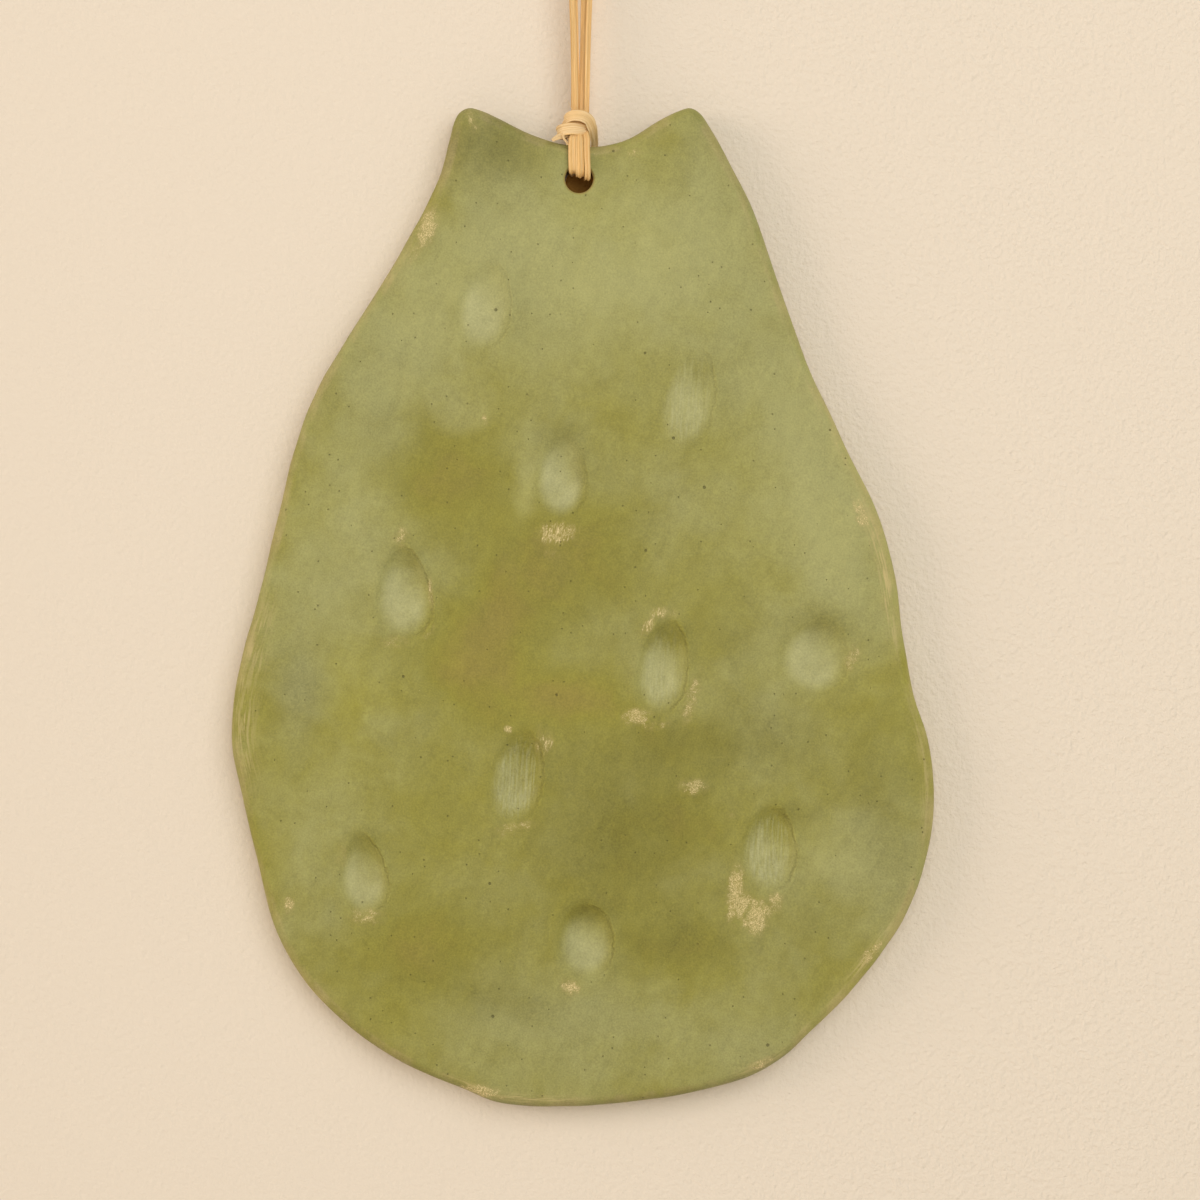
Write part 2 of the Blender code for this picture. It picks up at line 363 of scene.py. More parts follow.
class Graph(Wiring):
    """A material's node tree, with short calls for the nodes the finishes use."""

    def __init__(self, name: str) -> None:
        """Start a new Principled material called name."""
        self.material = bpy.data.materials.new(name)
        self.material.use_nodes = True
        self.tree = self.material.node_tree
        self.shader = self.tree.nodes["Principled BSDF"]

    def place(self, stretch: Point3 = (1.0, 1.0, 1.0), lean: float = 0.0) -> Socket:
        """Return the object's own coordinates in metres.

        Args:
            stretch: Scale along each axis. Below 1 a pattern is drawn out that way.
            lean: How far the pattern's top leans to the right, in degrees.
        """
        coords = self.node("ShaderNodeTexCoord", {}, {}).outputs["Object"]
        turned = {"Vector": coords, "Rotation": (0.0, math.radians(-lean), 0.0)}
        level = self.node("ShaderNodeMapping", {}, turned).outputs["Vector"]
        return self.node("ShaderNodeMapping", {}, {"Vector": level, "Scale": stretch}).outputs["Vector"]

    def drift(self, where: Socket, scale: float, amount: float) -> Socket:
        """Return coordinates pushed about by noise, so that patterns on them wander.

        Args:
            where: The coordinates to push.
            scale: Features of the push, to the metre.
            amount: How far it pushes, in metres.
        """
        noise = self.node("ShaderNodeTexNoise", {}, {"Vector": where, "Scale": scale, "Detail": 1.0})
        centred = {0: noise.outputs["Color"], 1: (0.5, 0.5, 0.5)}
        push = self.node("ShaderNodeVectorMath", {"operation": "SUBTRACT"}, centred).outputs[0]
        scaled = self.node("ShaderNodeVectorMath", {"operation": "SCALE"}, {0: push, "Scale": amount})
        moved = {0: where, 1: scaled.outputs[0]}
        return self.node("ShaderNodeVectorMath", {"operation": "ADD"}, moved).outputs[0]

    def spread(self, noise: Socket, amount: float) -> Socket:
        """Return noise stretched to run from -amount to +amount."""
        made = {"Value": noise, "From Min": 0.28, "From Max": 0.72, "To Min": -amount, "To Max": amount}
        return self.node("ShaderNodeMapRange", {"clamp": True}, made).outputs["Result"]

    def attribute(self, name: str | Mark) -> Socket:
        """Return a number kept on the mesh under that name."""
        label = name.value if isinstance(name, Mark) else name
        return self.node("ShaderNodeAttribute", {"attribute_name": label}, {}).outputs["Fac"]

    def noise(self, where: Socket, scale: float, detail: float = 3.0, rough: float = 0.5) -> Socket:
        """Return cloudy noise of that many features to the metre."""
        inputs = {"Vector": where, "Scale": scale, "Detail": detail, "Roughness": rough}
        return self.node("ShaderNodeTexNoise", {}, inputs).outputs["Fac"]

    def ramp(self, value: Socket, low: float, high: float, to: tuple[float, float] = (0.0, 1.0)) -> Socket:
        """Return value eased from the first number of `to` at low to the second at high."""
        inputs = {"Value": value, "From Min": low, "From Max": high, "To Min": to[0], "To Max": to[1]}
        made = self.node("ShaderNodeMapRange", {"interpolation_type": "SMOOTHSTEP"}, inputs)
        return made.outputs["Result"]

    def blend(self, share: Any, first: Any, second: Any, mode: str = "MIX") -> Socket:
        """Return two colours mixed, all of the second where share is 1."""
        made = self.node("ShaderNodeMix", {"data_type": "RGBA", "blend_type": mode}, {})
        self.feed(made.inputs[0], share)
        self.feed(made.inputs[6], first)
        self.feed(made.inputs[7], second)
        return made.outputs[2]

    def dots(self, scale: float, size: float, chance: float, seed: Point3) -> Socket:
        """Return round specks of random size, thinly scattered.

        Args:
            scale: Places a speck may be, to the metre.
            size: Radius of the largest speck as a share of the space between places.
            chance: Share of the places that have one.
            seed: Shift that makes one set of specks differ from another.

        Returns:
            1 in a speck and 0 outside.
        """
        coords = self.node("ShaderNodeTexCoord", {}, {})
        moved = self.node("ShaderNodeMapping", {}, {"Vector": coords.outputs["Object"], "Location": seed})
        cells = self.node("ShaderNodeTexVoronoi", {}, {"Vector": moved.outputs["Vector"], "Scale": scale})
        split = self.node("ShaderNodeSeparateColor", {}, {"Color": cells.outputs["Color"]})
        picked = self.sum("LESS_THAN", split.outputs[0], chance)
        reach = self.times(self.sum("MULTIPLY_ADD", split.outputs[1], 0.7, 0.3), size)
        edge = self.sum("SUBTRACT", reach, cells.outputs["Distance"])
        return self.times(self.ramp(edge, 0.0, size * 0.35), picked)

    def surface(self, colour: Any, roughness: Any, specular: float) -> None:
        """Set the shader's colour, roughness and specular level."""
        self.feed(self.shader.inputs["Base Color"], colour)
        self.feed(self.shader.inputs["Roughness"], roughness)
        self.feed(self.shader.inputs["Specular IOR Level"], specular)

    def relief(self, *layers: tuple[Socket, float]) -> None:
        """Put a bump of these layers on the shader, each a height and its size in metres."""
        normal: Socket | None = None
        for height, size in layers:
            inputs: dict[Any, Any] = {"Height": height, "Distance": size, "Strength": 1.0}
            if normal is not None:
                inputs["Normal"] = normal
            normal = self.node("ShaderNodeBump", {}, inputs).outputs["Normal"]
        self.feed(self.shader.inputs["Normal"], normal)


@dataclass(frozen=True)
class GreenGlaze:
    """Matte sage glaze over buff clay, pooled in the dents and rubbed off the high spots, with painted shade
    and highlights.

    Attributes:
        sage, olive, brown: The glaze from its coolest to its warmest.
        pool, edge, thin: Where it has gathered, with a painted highlight on each dent's lower left, at the
            rim, and where it was wiped.
        clay, grain, bare, shadowed: The clay under wear, its bright grains, which are partly painted glints,
            the back, and the painted shade inside the hole.
        pinhole: Pits and pores.
        unevenness: How far clouds, mottle, strokes and grain lighten or darken it.
        light_gain: How much one unit of lightness brightens it.
        roughness: Roughness of the sound glaze.
        worn_rougher: How much rougher bare clay is.
        specular: Specular level.
    """

    sage: Colour = (0.325, 0.332, 0.132)
    olive: Colour = (0.266, 0.256, 0.038)
    brown: Colour = (0.284, 0.247, 0.048)
    pool: Colour = (0.425, 0.435, 0.215)
    edge: Colour = (0.405, 0.345, 0.150)
    clay: Colour = (0.42, 0.345, 0.130)
    thin: Colour = (0.55, 0.46, 0.215)
    grain: Colour = (0.82, 0.70, 0.38)
    bare: Colour = (0.42, 0.27, 0.11)
    shadowed: Colour = (0.115, 0.052, 0.010)
    pinhole: Colour = (0.075, 0.075, 0.02)
    unevenness: tuple[float, ...] = (0.20, 0.25, 0.20, 0.52)
    light_gain: float = 0.26
    roughness: float = 0.58
    worn_rougher: float = 0.18
    specular: float = 0.35

    def material(self) -> bpy.types.Material:
        """Return the clay body's material."""
        g = Graph("green_glaze")
        here = g.place()
        warped = g.drift(here, 60.0, 0.010)
        broad = g.noise(warped, 34.0, 3.0, 0.55)
        cloud = g.noise(warped, 120.0, 5.0, 0.62)
        mottle = g.noise(g.drift(here, 160.0, 0.004), 420.0, 4.0, 0.62)
        grain = g.noise(here, 2600.0, 2.0, 0.6)
        strokes = g.noise(g.place((1.0, 1.0, 0.22), 24.0), 420.0, 3.0, 0.6)

        cool = g.plus(g.attribute(Mark.COOL), g.spread(broad, 0.45))
        cool = g.plus(cool, g.spread(cloud, 0.22))
        colour = g.blend(g.ramp(cool, -1.25, -0.45), self.brown, self.olive)
        colour = g.blend(g.ramp(cool, -0.75, 0.85), colour, self.sage)

        lines = g.noise(g.place((1.0, 1.0, 0.06), 3.0), 2300.0, 3.0, 0.6)
        lined = g.attribute(Mark.LINES)
        streaky = g.times(g.spread(lines, 0.9), lined)
        # glaze pooled in the dents, together with a painted highlight on each dent's lower left side
        pool = g.plus(g.attribute(Mark.POOL_AND_HIGHLIGHT), g.times(streaky, 0.5))
        pool = g.times(pool, g.ramp(cloud, 0.25, 0.6, (0.65, 1.0)))
        colour = g.blend(g.sum("MINIMUM", pool, 1.0), colour, self.pool)

        rim_noise = g.noise(g.place((1.0, 1.0, 0.5)), 150.0, 4.0, 0.6)
        rim = g.times(g.attribute(Mark.RIM), g.ramp(rim_noise, 0.38, 0.66))
        colour = g.blend(g.times(rim, 0.6), colour, self.edge)

        # lightness from the glaze's tone and from the painted shade and highlights that the mesh carries
        light = g.attribute(Mark.LIGHT)
        for noise, amount in zip((cloud, mottle, strokes, grain), self.unevenness):
            light = g.plus(light, g.spread(noise, amount))
        crease, ridge_and_highlight = self.edges(g, mottle)
        # painted highlight on the ridge and painted shade in the crease along a dent's right side
        light = g.plus(light, g.times(ridge_and_highlight, 0.5))
        light = g.sum("SUBTRACT", light, g.times(crease, 0.75))
        gain = g.sum("MULTIPLY_ADD", light, self.light_gain, 1.0)
        tint = g.node("ShaderNodeCombineColor", {}, {0: gain, 1: gain, 2: gain}).outputs[0]
        colour = g.blend(1.0, colour, tint, "MULTIPLY")

        colour = g.blend(self.streaks(g), colour, self.thin)
        smear, grains_and_glints = self.rubbed(g, Mark.SPECKLE, here)
        long_smear, long_grains_and_glints = self.rubbed(g, Mark.STREAK, g.place((1.0, 1.0, 0.3), 12.0))
        smear = g.sum("MAXIMUM", smear, long_smear)
        grains_and_glints = g.sum("MAXIMUM", grains_and_glints, long_grains_and_glints)
        colour = g.blend(g.times(smear, 0.5), colour, self.clay)
        # bare clay grains, partly painted glints
        colour = g.blend(g.times(grains_and_glints, 0.95), colour, self.grain)

        bare_and_shade_share = g.attribute(Mark.BARE_AND_HOLE_SHADE)
        bare = g.blend(g.ramp(cloud, 0.3, 0.7), self.bare, self.clay)
        # bare values above 1.2 paint the inside of the hole dark as painted shade
        bare = g.blend(g.ramp(bare_and_shade_share, 1.2, 2.0), bare, self.shadowed)
        colour = g.blend(g.sum("MINIMUM", bare_and_shade_share, 1.0), colour, bare)

        pits = g.dots(150.0, 0.062, 0.34, (0.3, 0.0, 0.7))
        pores = g.dots(430.0, 0.10, 0.55, (0.9, 0.1, 0.2))
        flakes = g.dots(110.0, 0.026, 0.22, (0.1, 0.5, 0.4))
        for specks, share, tone in (
            (pits, 0.62, self.pinhole), (pores, 0.46, self.pinhole), (flakes, 0.7, self.grain)
        ):
            colour = g.blend(g.times(specks, share), colour, tone)

        worn = g.sum("MAXIMUM", grains_and_glints, g.sum("MINIMUM", bare_and_shade_share, 1.0))
        rough = g.ramp(cloud, 0.3, 0.7, (self.roughness - 0.06, self.roughness + 0.06))
        g.surface(colour, g.plus(rough, g.times(worn, self.worn_rougher)), self.specular)

        g.relief(
            (g.noise(warped, 300.0, 4.0, 0.6), 0.00010),
            (strokes, 0.00007),
            (g.noise(here, 1500.0, 3.0, 0.6), 0.00006),
            (g.times(lines, lined), 0.00022),
            (g.sum("SUBTRACT", ridge_and_highlight, crease), 0.00011),
            (g.times(grains_and_glints, -1.0), 0.00003),
            (g.times(g.sum("MAXIMUM", pits, pores), -1.0), 0.00025),
        )
        return g.material

    @staticmethod
    def edges(g: Graph, wobble: Socket) -> tuple[Socket, Socket]:
        """Return the fine crease, and the ridge beside it, that follow a dent's edge; both are bumped, and
        the crease is also painted as shade and the ridge as a highlight.

        Args:
            g: The glaze's graph.
            wobble: The noise that makes them wander.

        Returns:
            Two shares, each 1 on its line and 0 away from it.
        """
        reach = g.plus(g.attribute(Mark.REACH), g.spread(wobble, 0.09))
        strength = g.times(g.attribute(Mark.EDGE), g.ramp(wobble, 0.32, 0.55))
        found = []
        for middle, half in ((0.985, 0.055), (1.075, 0.06)):
            away = g.sum("ABSOLUTE", g.sum("SUBTRACT", reach, middle))
            found.append(g.times(g.ramp(away, half, 0.0), strength))
        return found[0], found[1]

    @staticmethod
    def streaks(g: Graph) -> Socket:
        """Return how thin the glaze is where it was wiped along the edge."""
        from_edge, along = g.attribute(Mark.FROM_EDGE), g.attribute(Mark.ALONG_EDGE)
        lane = g.node("ShaderNodeCombineXYZ", {}, {0: from_edge, 1: g.times(along, 0.07), 2: 0.0})
        fine = g.noise(lane.outputs[0], 1.9, 3.0, 0.6)
        patchy = g.noise(g.place(), 160.0, 3.0, 0.6)
        patches = g.ramp(patchy, 0.32, 0.58, (0.45, 1.0))
        amount = g.times(g.attribute(Mark.BRUSHED), patches)
        return g.times(amount, g.ramp(fine, 0.44, 0.58, (0.0, 1.0)))

    @staticmethod
    def rubbed(g: Graph, mark: Mark, where: Socket) -> tuple[Socket, Socket]:
        """Return where one kind of wear shows the clay.

        Args:
            g: The glaze's graph.
            mark: The attribute that says how worn each place is.
            where: The coordinates that its net of bare grains follows.

        Returns:
            The thinned glaze round the wear, and the bare grains in it, whose brightness is partly painted
            glint.
        """
        amount = g.attribute(mark)
        patches = g.spread(g.noise(where, 620.0, 3.0, 0.6), 0.34)
        patches = g.times(patches, g.ramp(amount, 0.0, 0.45))
        cover = g.ramp(g.plus(amount, patches), 0.07, 1.0)
        net = g.noise(g.drift(where, 900.0, 0.0005), 2300.0, 2.0, 0.7)
        off = g.sum("ABSOLUTE", g.sum("SUBTRACT", net, 0.5))
        width = g.ramp(cover, 0.1, 0.95, (0.02, 0.10))
        lines = g.ramp(g.sum("DIVIDE", off, width), 1.0, 0.1)
        dust = g.sum("MULTIPLY_ADD", cover, 0.3, g.noise(where, 4200.0, 1.0, 0.5))
        grains_and_glints = g.times(lines, g.ramp(dust, 0.46, 0.70))
        # painted glints: some grains are painted brighter than others
        painted_glint = g.ramp(g.noise(where, 3100.0, 1.0, 0.5), 0.40, 0.62, (0.35, 1.0))
        grains_and_glints = g.times(grains_and_glints, g.times(g.ramp(cover, 0.0, 0.75), painted_glint))
        return cover, grains_and_glints


@dataclass(frozen=True)
class RaffiaFibre:
    """Dry raffia leaf: straw coloured, with fine fibres along its length, and its edges painted darker as the
    shade between strands.
    """

    name: str = "raffia_fibre"
    straw: Colour = (0.87, 0.575, 0.235)
    light: Colour = (0.95, 0.71, 0.37)
    dark_fibre_and_shade: Colour = (0.56, 0.29, 0.06)
    roughness: float = 0.5
    specular: float = 0.4

    def material(self) -> bpy.types.Material:
        """Return the strands' material, which reads the along and across attributes."""
        g = Graph(self.name)
        across, along = g.attribute("across"), g.attribute("along")
        place = g.node("ShaderNodeCombineXYZ", {}, {0: across, 1: along, 2: g.attribute("lane")})
        fine = g.node("ShaderNodeMapping", {}, {"Vector": place.outputs[0], "Scale": (9.0, 60.0, 7.0)})
        wide = g.node("ShaderNodeMapping", {}, {"Vector": place.outputs[0], "Scale": (2.2, 45.0, 3.0)})
        fibres = g.noise(fine.outputs[0], 1.0, 3.0, 0.6)
        bands = g.noise(wide.outputs[0], 1.0, 2.0, 0.5)
        colour = g.blend(g.ramp(bands, 0.3, 0.7), self.straw, self.light)
        colour = g.blend(g.ramp(fibres, 0.62, 0.36, (0.0, 0.55)), colour, self.dark_fibre_and_shade)
        # painted shade along the ribbon's edges, where strands lie against each other
        edge_shade = g.ramp(g.sum("ABSOLUTE", across), 0.84, 1.0, (0.0, 0.8))
        colour = g.blend(edge_shade, colour, self.dark_fibre_and_shade)
        g.surface(colour, self.roughness, self.specular)
        g.relief((fibres, 0.00012))
        return g.material


@dataclass(frozen=True)
class PlainPaint:
    """Pale paint of the stage, with the faint stipple that a roller leaves.

    Attributes:
        name: The material's name.
        colour: The paint's own colour.
        stipple: Height of the stipple, in millimetres.
        stipple_scale: Its features to the metre.
        stipple_span: Where across the wall it starts and stops growing, in metres.
        stipple_growth: Its share of the height at those two places.
        one_sided: Whether the paint is clear from behind.
        painted_hole_shade: Colour of a small patch of painted shade, tinted by light bounced in the hanging
            hole, on the wall behind it.
        painted_hole_shade_at: The patch's middle, in millimetres.
        painted_hole_shade_reach: How far from there its colour ends, and where it is full, in millimetres.
    """

    name: str
    colour: Colour
    stipple: float = 0.0
    one_sided: bool = False
    painted_hole_shade: Colour | None = None
    painted_hole_shade_at: Point3 = (-0.2, 1.8, -62.9)
    painted_hole_shade_reach: tuple[float, float] = (5.2, 4.2)
    stipple_scale: float = 820.0
    stipple_span: tuple[float, float] = (-0.06, 0.08)
    stipple_growth: tuple[float, float] = (0.75, 1.7)
    roughness: float = 0.8
    specular: float = 0.2

    def material(self) -> bpy.types.Material:
        """Return the paint, which is clear from behind where it is one-sided."""
        g = Graph(self.name)
        here = g.place()
        colour: Any = self.colour
        # paint the shade and bounced light seen through the hanging hole onto the wall behind it
        if self.painted_hole_shade:
            gap = {0: here, 1: tuple(c * MM for c in self.painted_hole_shade_at)}
            away = g.node("ShaderNodeVectorMath", {"operation": "DISTANCE"}, gap).outputs["Value"]
            outer, inner = (reach * MM for reach in self.painted_hole_shade_reach)
            colour = g.blend(g.ramp(away, outer, inner), self.colour, self.painted_hole_shade)
        g.surface(colour, self.roughness, self.specular)
        if self.stipple:
            across = g.node("ShaderNodeSeparateXYZ", {}, {0: here}).outputs[0]
            growth = g.ramp(across, *self.stipple_span, self.stipple_growth)
            height = g.times(g.noise(here, self.stipple_scale, 3.0, 0.6), growth)
            g.relief((height, self.stipple * MM))
        if self.one_sided:
            behind = g.node("ShaderNodeNewGeometry", {}, {}).outputs["Backfacing"]
            clear = g.node("ShaderNodeBsdfTransparent", {}, {}).outputs[0]
            mixed = g.node("ShaderNodeMixShader", {}, {0: behind, 1: g.shader.outputs[0], 2: clear})
            g.feed(g.tree.nodes["Material Output"].inputs["Surface"], mixed.outputs[0])
        return g.material


# ------------------------------------------------------------------ making objects


def new_mesh(name: str, verts: np.ndarray, faces: Sequence[Sequence[int]]) -> bpy.types.Mesh:
    """Return a smooth-shaded mesh from vertices in metres and faces."""
    mesh = bpy.data.meshes.new(name)
    mesh.from_pydata(verts.tolist(), [], [tuple(map(int, face)) for face in faces])
    mesh.validate()
    mesh.shade_smooth()
    return mesh


def add_piece(name: str, mesh: bpy.types.Mesh) -> bpy.types.Object:
    """Link a mesh into the scene as a new object at the origin."""
    obj = bpy.data.objects.new(name, mesh)
    bpy.context.scene.collection.objects.link(obj)
    return obj


def attach(piece: bpy.types.Object, slot: str, *nodes: str) -> None:
    """Put a finished piece on the body and hide the CAD nodes it stands for."""
    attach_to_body(piece, BODY)
    if nodes:
        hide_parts(*nodes)
    LOG.info("%s: %d faces", piece.name, len(piece.data.polygons))


def face_out(mesh: bpy.types.Mesh) -> None:
    """Turn every face of a closed mesh outwards if its volume comes out negative."""
    mesh.calc_loop_triangles()
    corners = np.empty(len(mesh.vertices) * 3)
    mesh.vertices.foreach_get("co", corners)
    corners = corners.reshape(-1, 3)
    triangles = np.empty(len(mesh.loop_triangles) * 3, np.int32)
    mesh.loop_triangles.foreach_get("vertices", triangles)
    a, b, c = (corners[triangles.reshape(-1, 3)[:, i]] for i in range(3))
    if np.einsum("ij,ij->i", a, np.cross(b, c)).sum() < 0:
        mesh.flip_normals()


# ------------------------------------------------------------------ the clay plaque


@dataclass
class ClayPlaque:
    """The fired slab: wavy rounded rim, finger dents, pinched bump, hanging hole, flat back."""

    node: str = "ceramic_plaque"
    thickness: float = 7.5
    widest_level: float = -1.6
    middle: tuple[float, float] = (0.0, -165.0)
    rim_step: float = 0.8
    front_step: float = 0.78
    dent_step: float = 0.42
    back_step: float = 2.6
    round_in: float = 2.4
    round_deep: float = 3.2
    round_steps: int = 8
    back_round: tuple[float, float] = (1.5, 1.6)
    hole: tuple[float, float] = (-0.2, -64.1)
    hole_radius: float = 3.1
    hole_points: int = 72
    mouth_round: float = 0.45
    broad: Waves = Waves(5, 34.0, 90.0)
    lumps: Waves = Waves(11, 9.0, 26.0)
    broad_height: float = 0.26
    lump_height: float = 0.10
    edge_fall: float = 0.55
    edge_fall_reach: float = 4.0
    mouth_sink: float = 0.22
    burr_height: float = 0.9
    fine_reach: float = 1.40
    clearance: float = 0.55
    dents: tuple[Dent, ...] = (
        Dent(-20.8, -92.4, 5.8, 9.8, 10.0, depth=0.85, crisp=1.0, lip=0.06, pool=0.8, edge=0.55),
        Dent(-26.4, -112.5, 9.5, 9.5, 0.0, depth=0.35, crisp=1.0, lip=0.03, pool=0.3, edge=0.1),
        Dent(23.9, -112.5, 5.8, 11.5, 12.0, depth=0.6, crisp=1.0, lip=0.05, lined=0.7, pool=0.6, edge=0.55),
        Dent(-4.0, -129.6, 5.6, 9.2, 3.0, depth=1.0, crisp=1.1, lip=0.07, pool=0.95, edge=0.5),
        Dent(-38.6, -155.0, 5.9, 10.4, -2.0, depth=1.15, crisp=1.5, lip=0.14, point=0.3, pool=0.85, edge=1.0),
        Dent(18.3, -171.3, 5.4, 10.6, 8.0, depth=1.25, crisp=1.4, lip=0.22, lined=0.5, pool=0.75, edge=0.9),
        Dent(51.6, -169.0, 7.6, 8.4, 20.0, depth=1.0, crisp=1.1, lip=0.12, pool=0.75, edge=0.35),
        Dent(-13.8, -195.4, 5.8, 10.4, 12.0, depth=1.15, crisp=1.5, lip=0.16, lined=1.0, pool=0.7, edge=0.8),
        Dent(41.4, -211.2, 6.0, 9.6, 4.0, depth=1.25, crisp=2.0, lip=0.2, lined=0.9, pool=0.75, edge=0.9),
        Dent(-47.4, -216.6, 5.2, 9.0, -4.0, depth=1.1, crisp=1.5, lip=0.14, point=0.28, pool=0.75, edge=0.9),
        Dent(1.3, -231.4, 6.2, 8.2, 0.0, depth=1.35, crisp=1.8, lip=0.2, point=0.05, pool=0.75, edge=0.8),
    )
    bump: Spot = Spot(25.1, -198.1, 4.4, 2.3, 0.0)
    bump_height: float = 0.65
    # rows of x, z, half width, half height, lean and strength
    worn: tuple[Worn, ...] = (
        *(Worn(*row) for row in (
            (-33.4, -74.9, 2.3, 5.4, 20.0, 1.0), (-36.4, -80.5, 1.6, 3.0, 24.0, 0.5),
            (-39.2, -142.6, 2.2, 2.8, 20.0, 0.62), (-40.0, -165.6, 5.0, 2.0, 0.0, 0.42),
            (-33.2, -163.4, 1.6, 3.4, 25.0, 0.38), (12.4, -182.0, 3.8, 2.2, -12.0, 0.85),
            (16.4, -184.0, 4.6, 1.5, -8.0, 0.42), (24.6, -177.6, 2.0, 7.6, 14.0, 0.58),
            (60.0, -169.0, 2.2, 4.4, 20.0, 0.55), (-15.6, -184.9, 1.6, 1.2, 0.0, 0.6),
            (-14.2, -206.6, 6.0, 2.0, -14.0, 0.52), (34.0, -221.0, 2.1, 7.4, 6.0, 1.0),
            (38.6, -226.0, 3.6, 4.4, 10.0, 1.0), (42.8, -222.6, 2.2, 3.0, 20.0, 0.7),
            (35.8, -223.6, 2.4, 3.6, 10.0, 0.9), (-47.0, -226.0, 5.0, 2.4, 0.0, 0.6),
            (-52.2, -212.4, 1.4, 3.0, 0.0, 0.5), (-2.0, -241.4, 2.6, 2.0, 20.0, 0.85),
            (25.0, -197.4, 3.6, 2.0, 0.0, 0.78), (-20.8, -116.9, 0.9, 1.5, 0.0, 0.6),
            (33.0, -204.0, 1.6, 1.4, 0.0, 0.42), (-63.8, -223.4, 1.4, 2.2, 0.0, 0.8),
            (-21.5, -264.2, 5.6, 1.8, 14.0, 0.9), (39.6, -258.4, 3.6, 1.6, -24.0, 0.7),
            (64.2, -233.6, 1.6, 5.4, 44.0, 0.7), (61.4, -137.6, 1.7, 4.8, -20.0, 0.75),
            (-23.6, -51.6, 1.6, 3.6, -20.0, 0.5), (11.9, -58.6, 2.6, 1.3, 0.0, 0.5),
            (3.6, -58.8, 0.9, 0.7, 0.0, 0.5),
        )),
        *(Worn(*row, wear=Wear.STROKES) for row in (
            (-4.6, -141.9, 5.8, 3.2, 0.0, 0.72), (-6.0, -146.4, 2.4, 1.6, 0.0, 0.45),
            (-32.6, -155.6, 0.8, 5.6, -4.0, 0.55), (14.6, -162.4, 1.5, 3.6, 40.0, 0.72),
            (18.4, -159.4, 4.0, 1.8, 0.0, 0.58), (-8.0, -187.6, 2.8, 5.0, -12.0, 0.52),
        )),
    )
    # rows of x, z, half width, half height, lean, strength, inset and reach
    brushed: tuple[Brushed, ...] = tuple(Brushed(*row) for row in (
        (67.2, -151.0, 9.0, 19.0, -15.0, 0.85, 2.5, 1.1), (75.0, -192.0, 8.0, 22.0, 0.0, 0.3, 2.0, 1.0),
        (-72.7, -174.0, 9.0, 26.0, 0.0, 0.62, 2.8, 2.4), (-14.0, -264.5, 19.0, 8.0, 0.0, 0.6, 1.9, 0.8),
        (39.7, -258.3, 8.0, 5.0, -24.0, 0.55, 1.5, 0.9), (64.1, -233.6, 6.0, 10.0, 40.0, 0.6, 2.2, 1.0),
        (-38.0, -76.0, 7.0, 13.0, 25.0, 0.3, 2.2, 1.2),
    ))
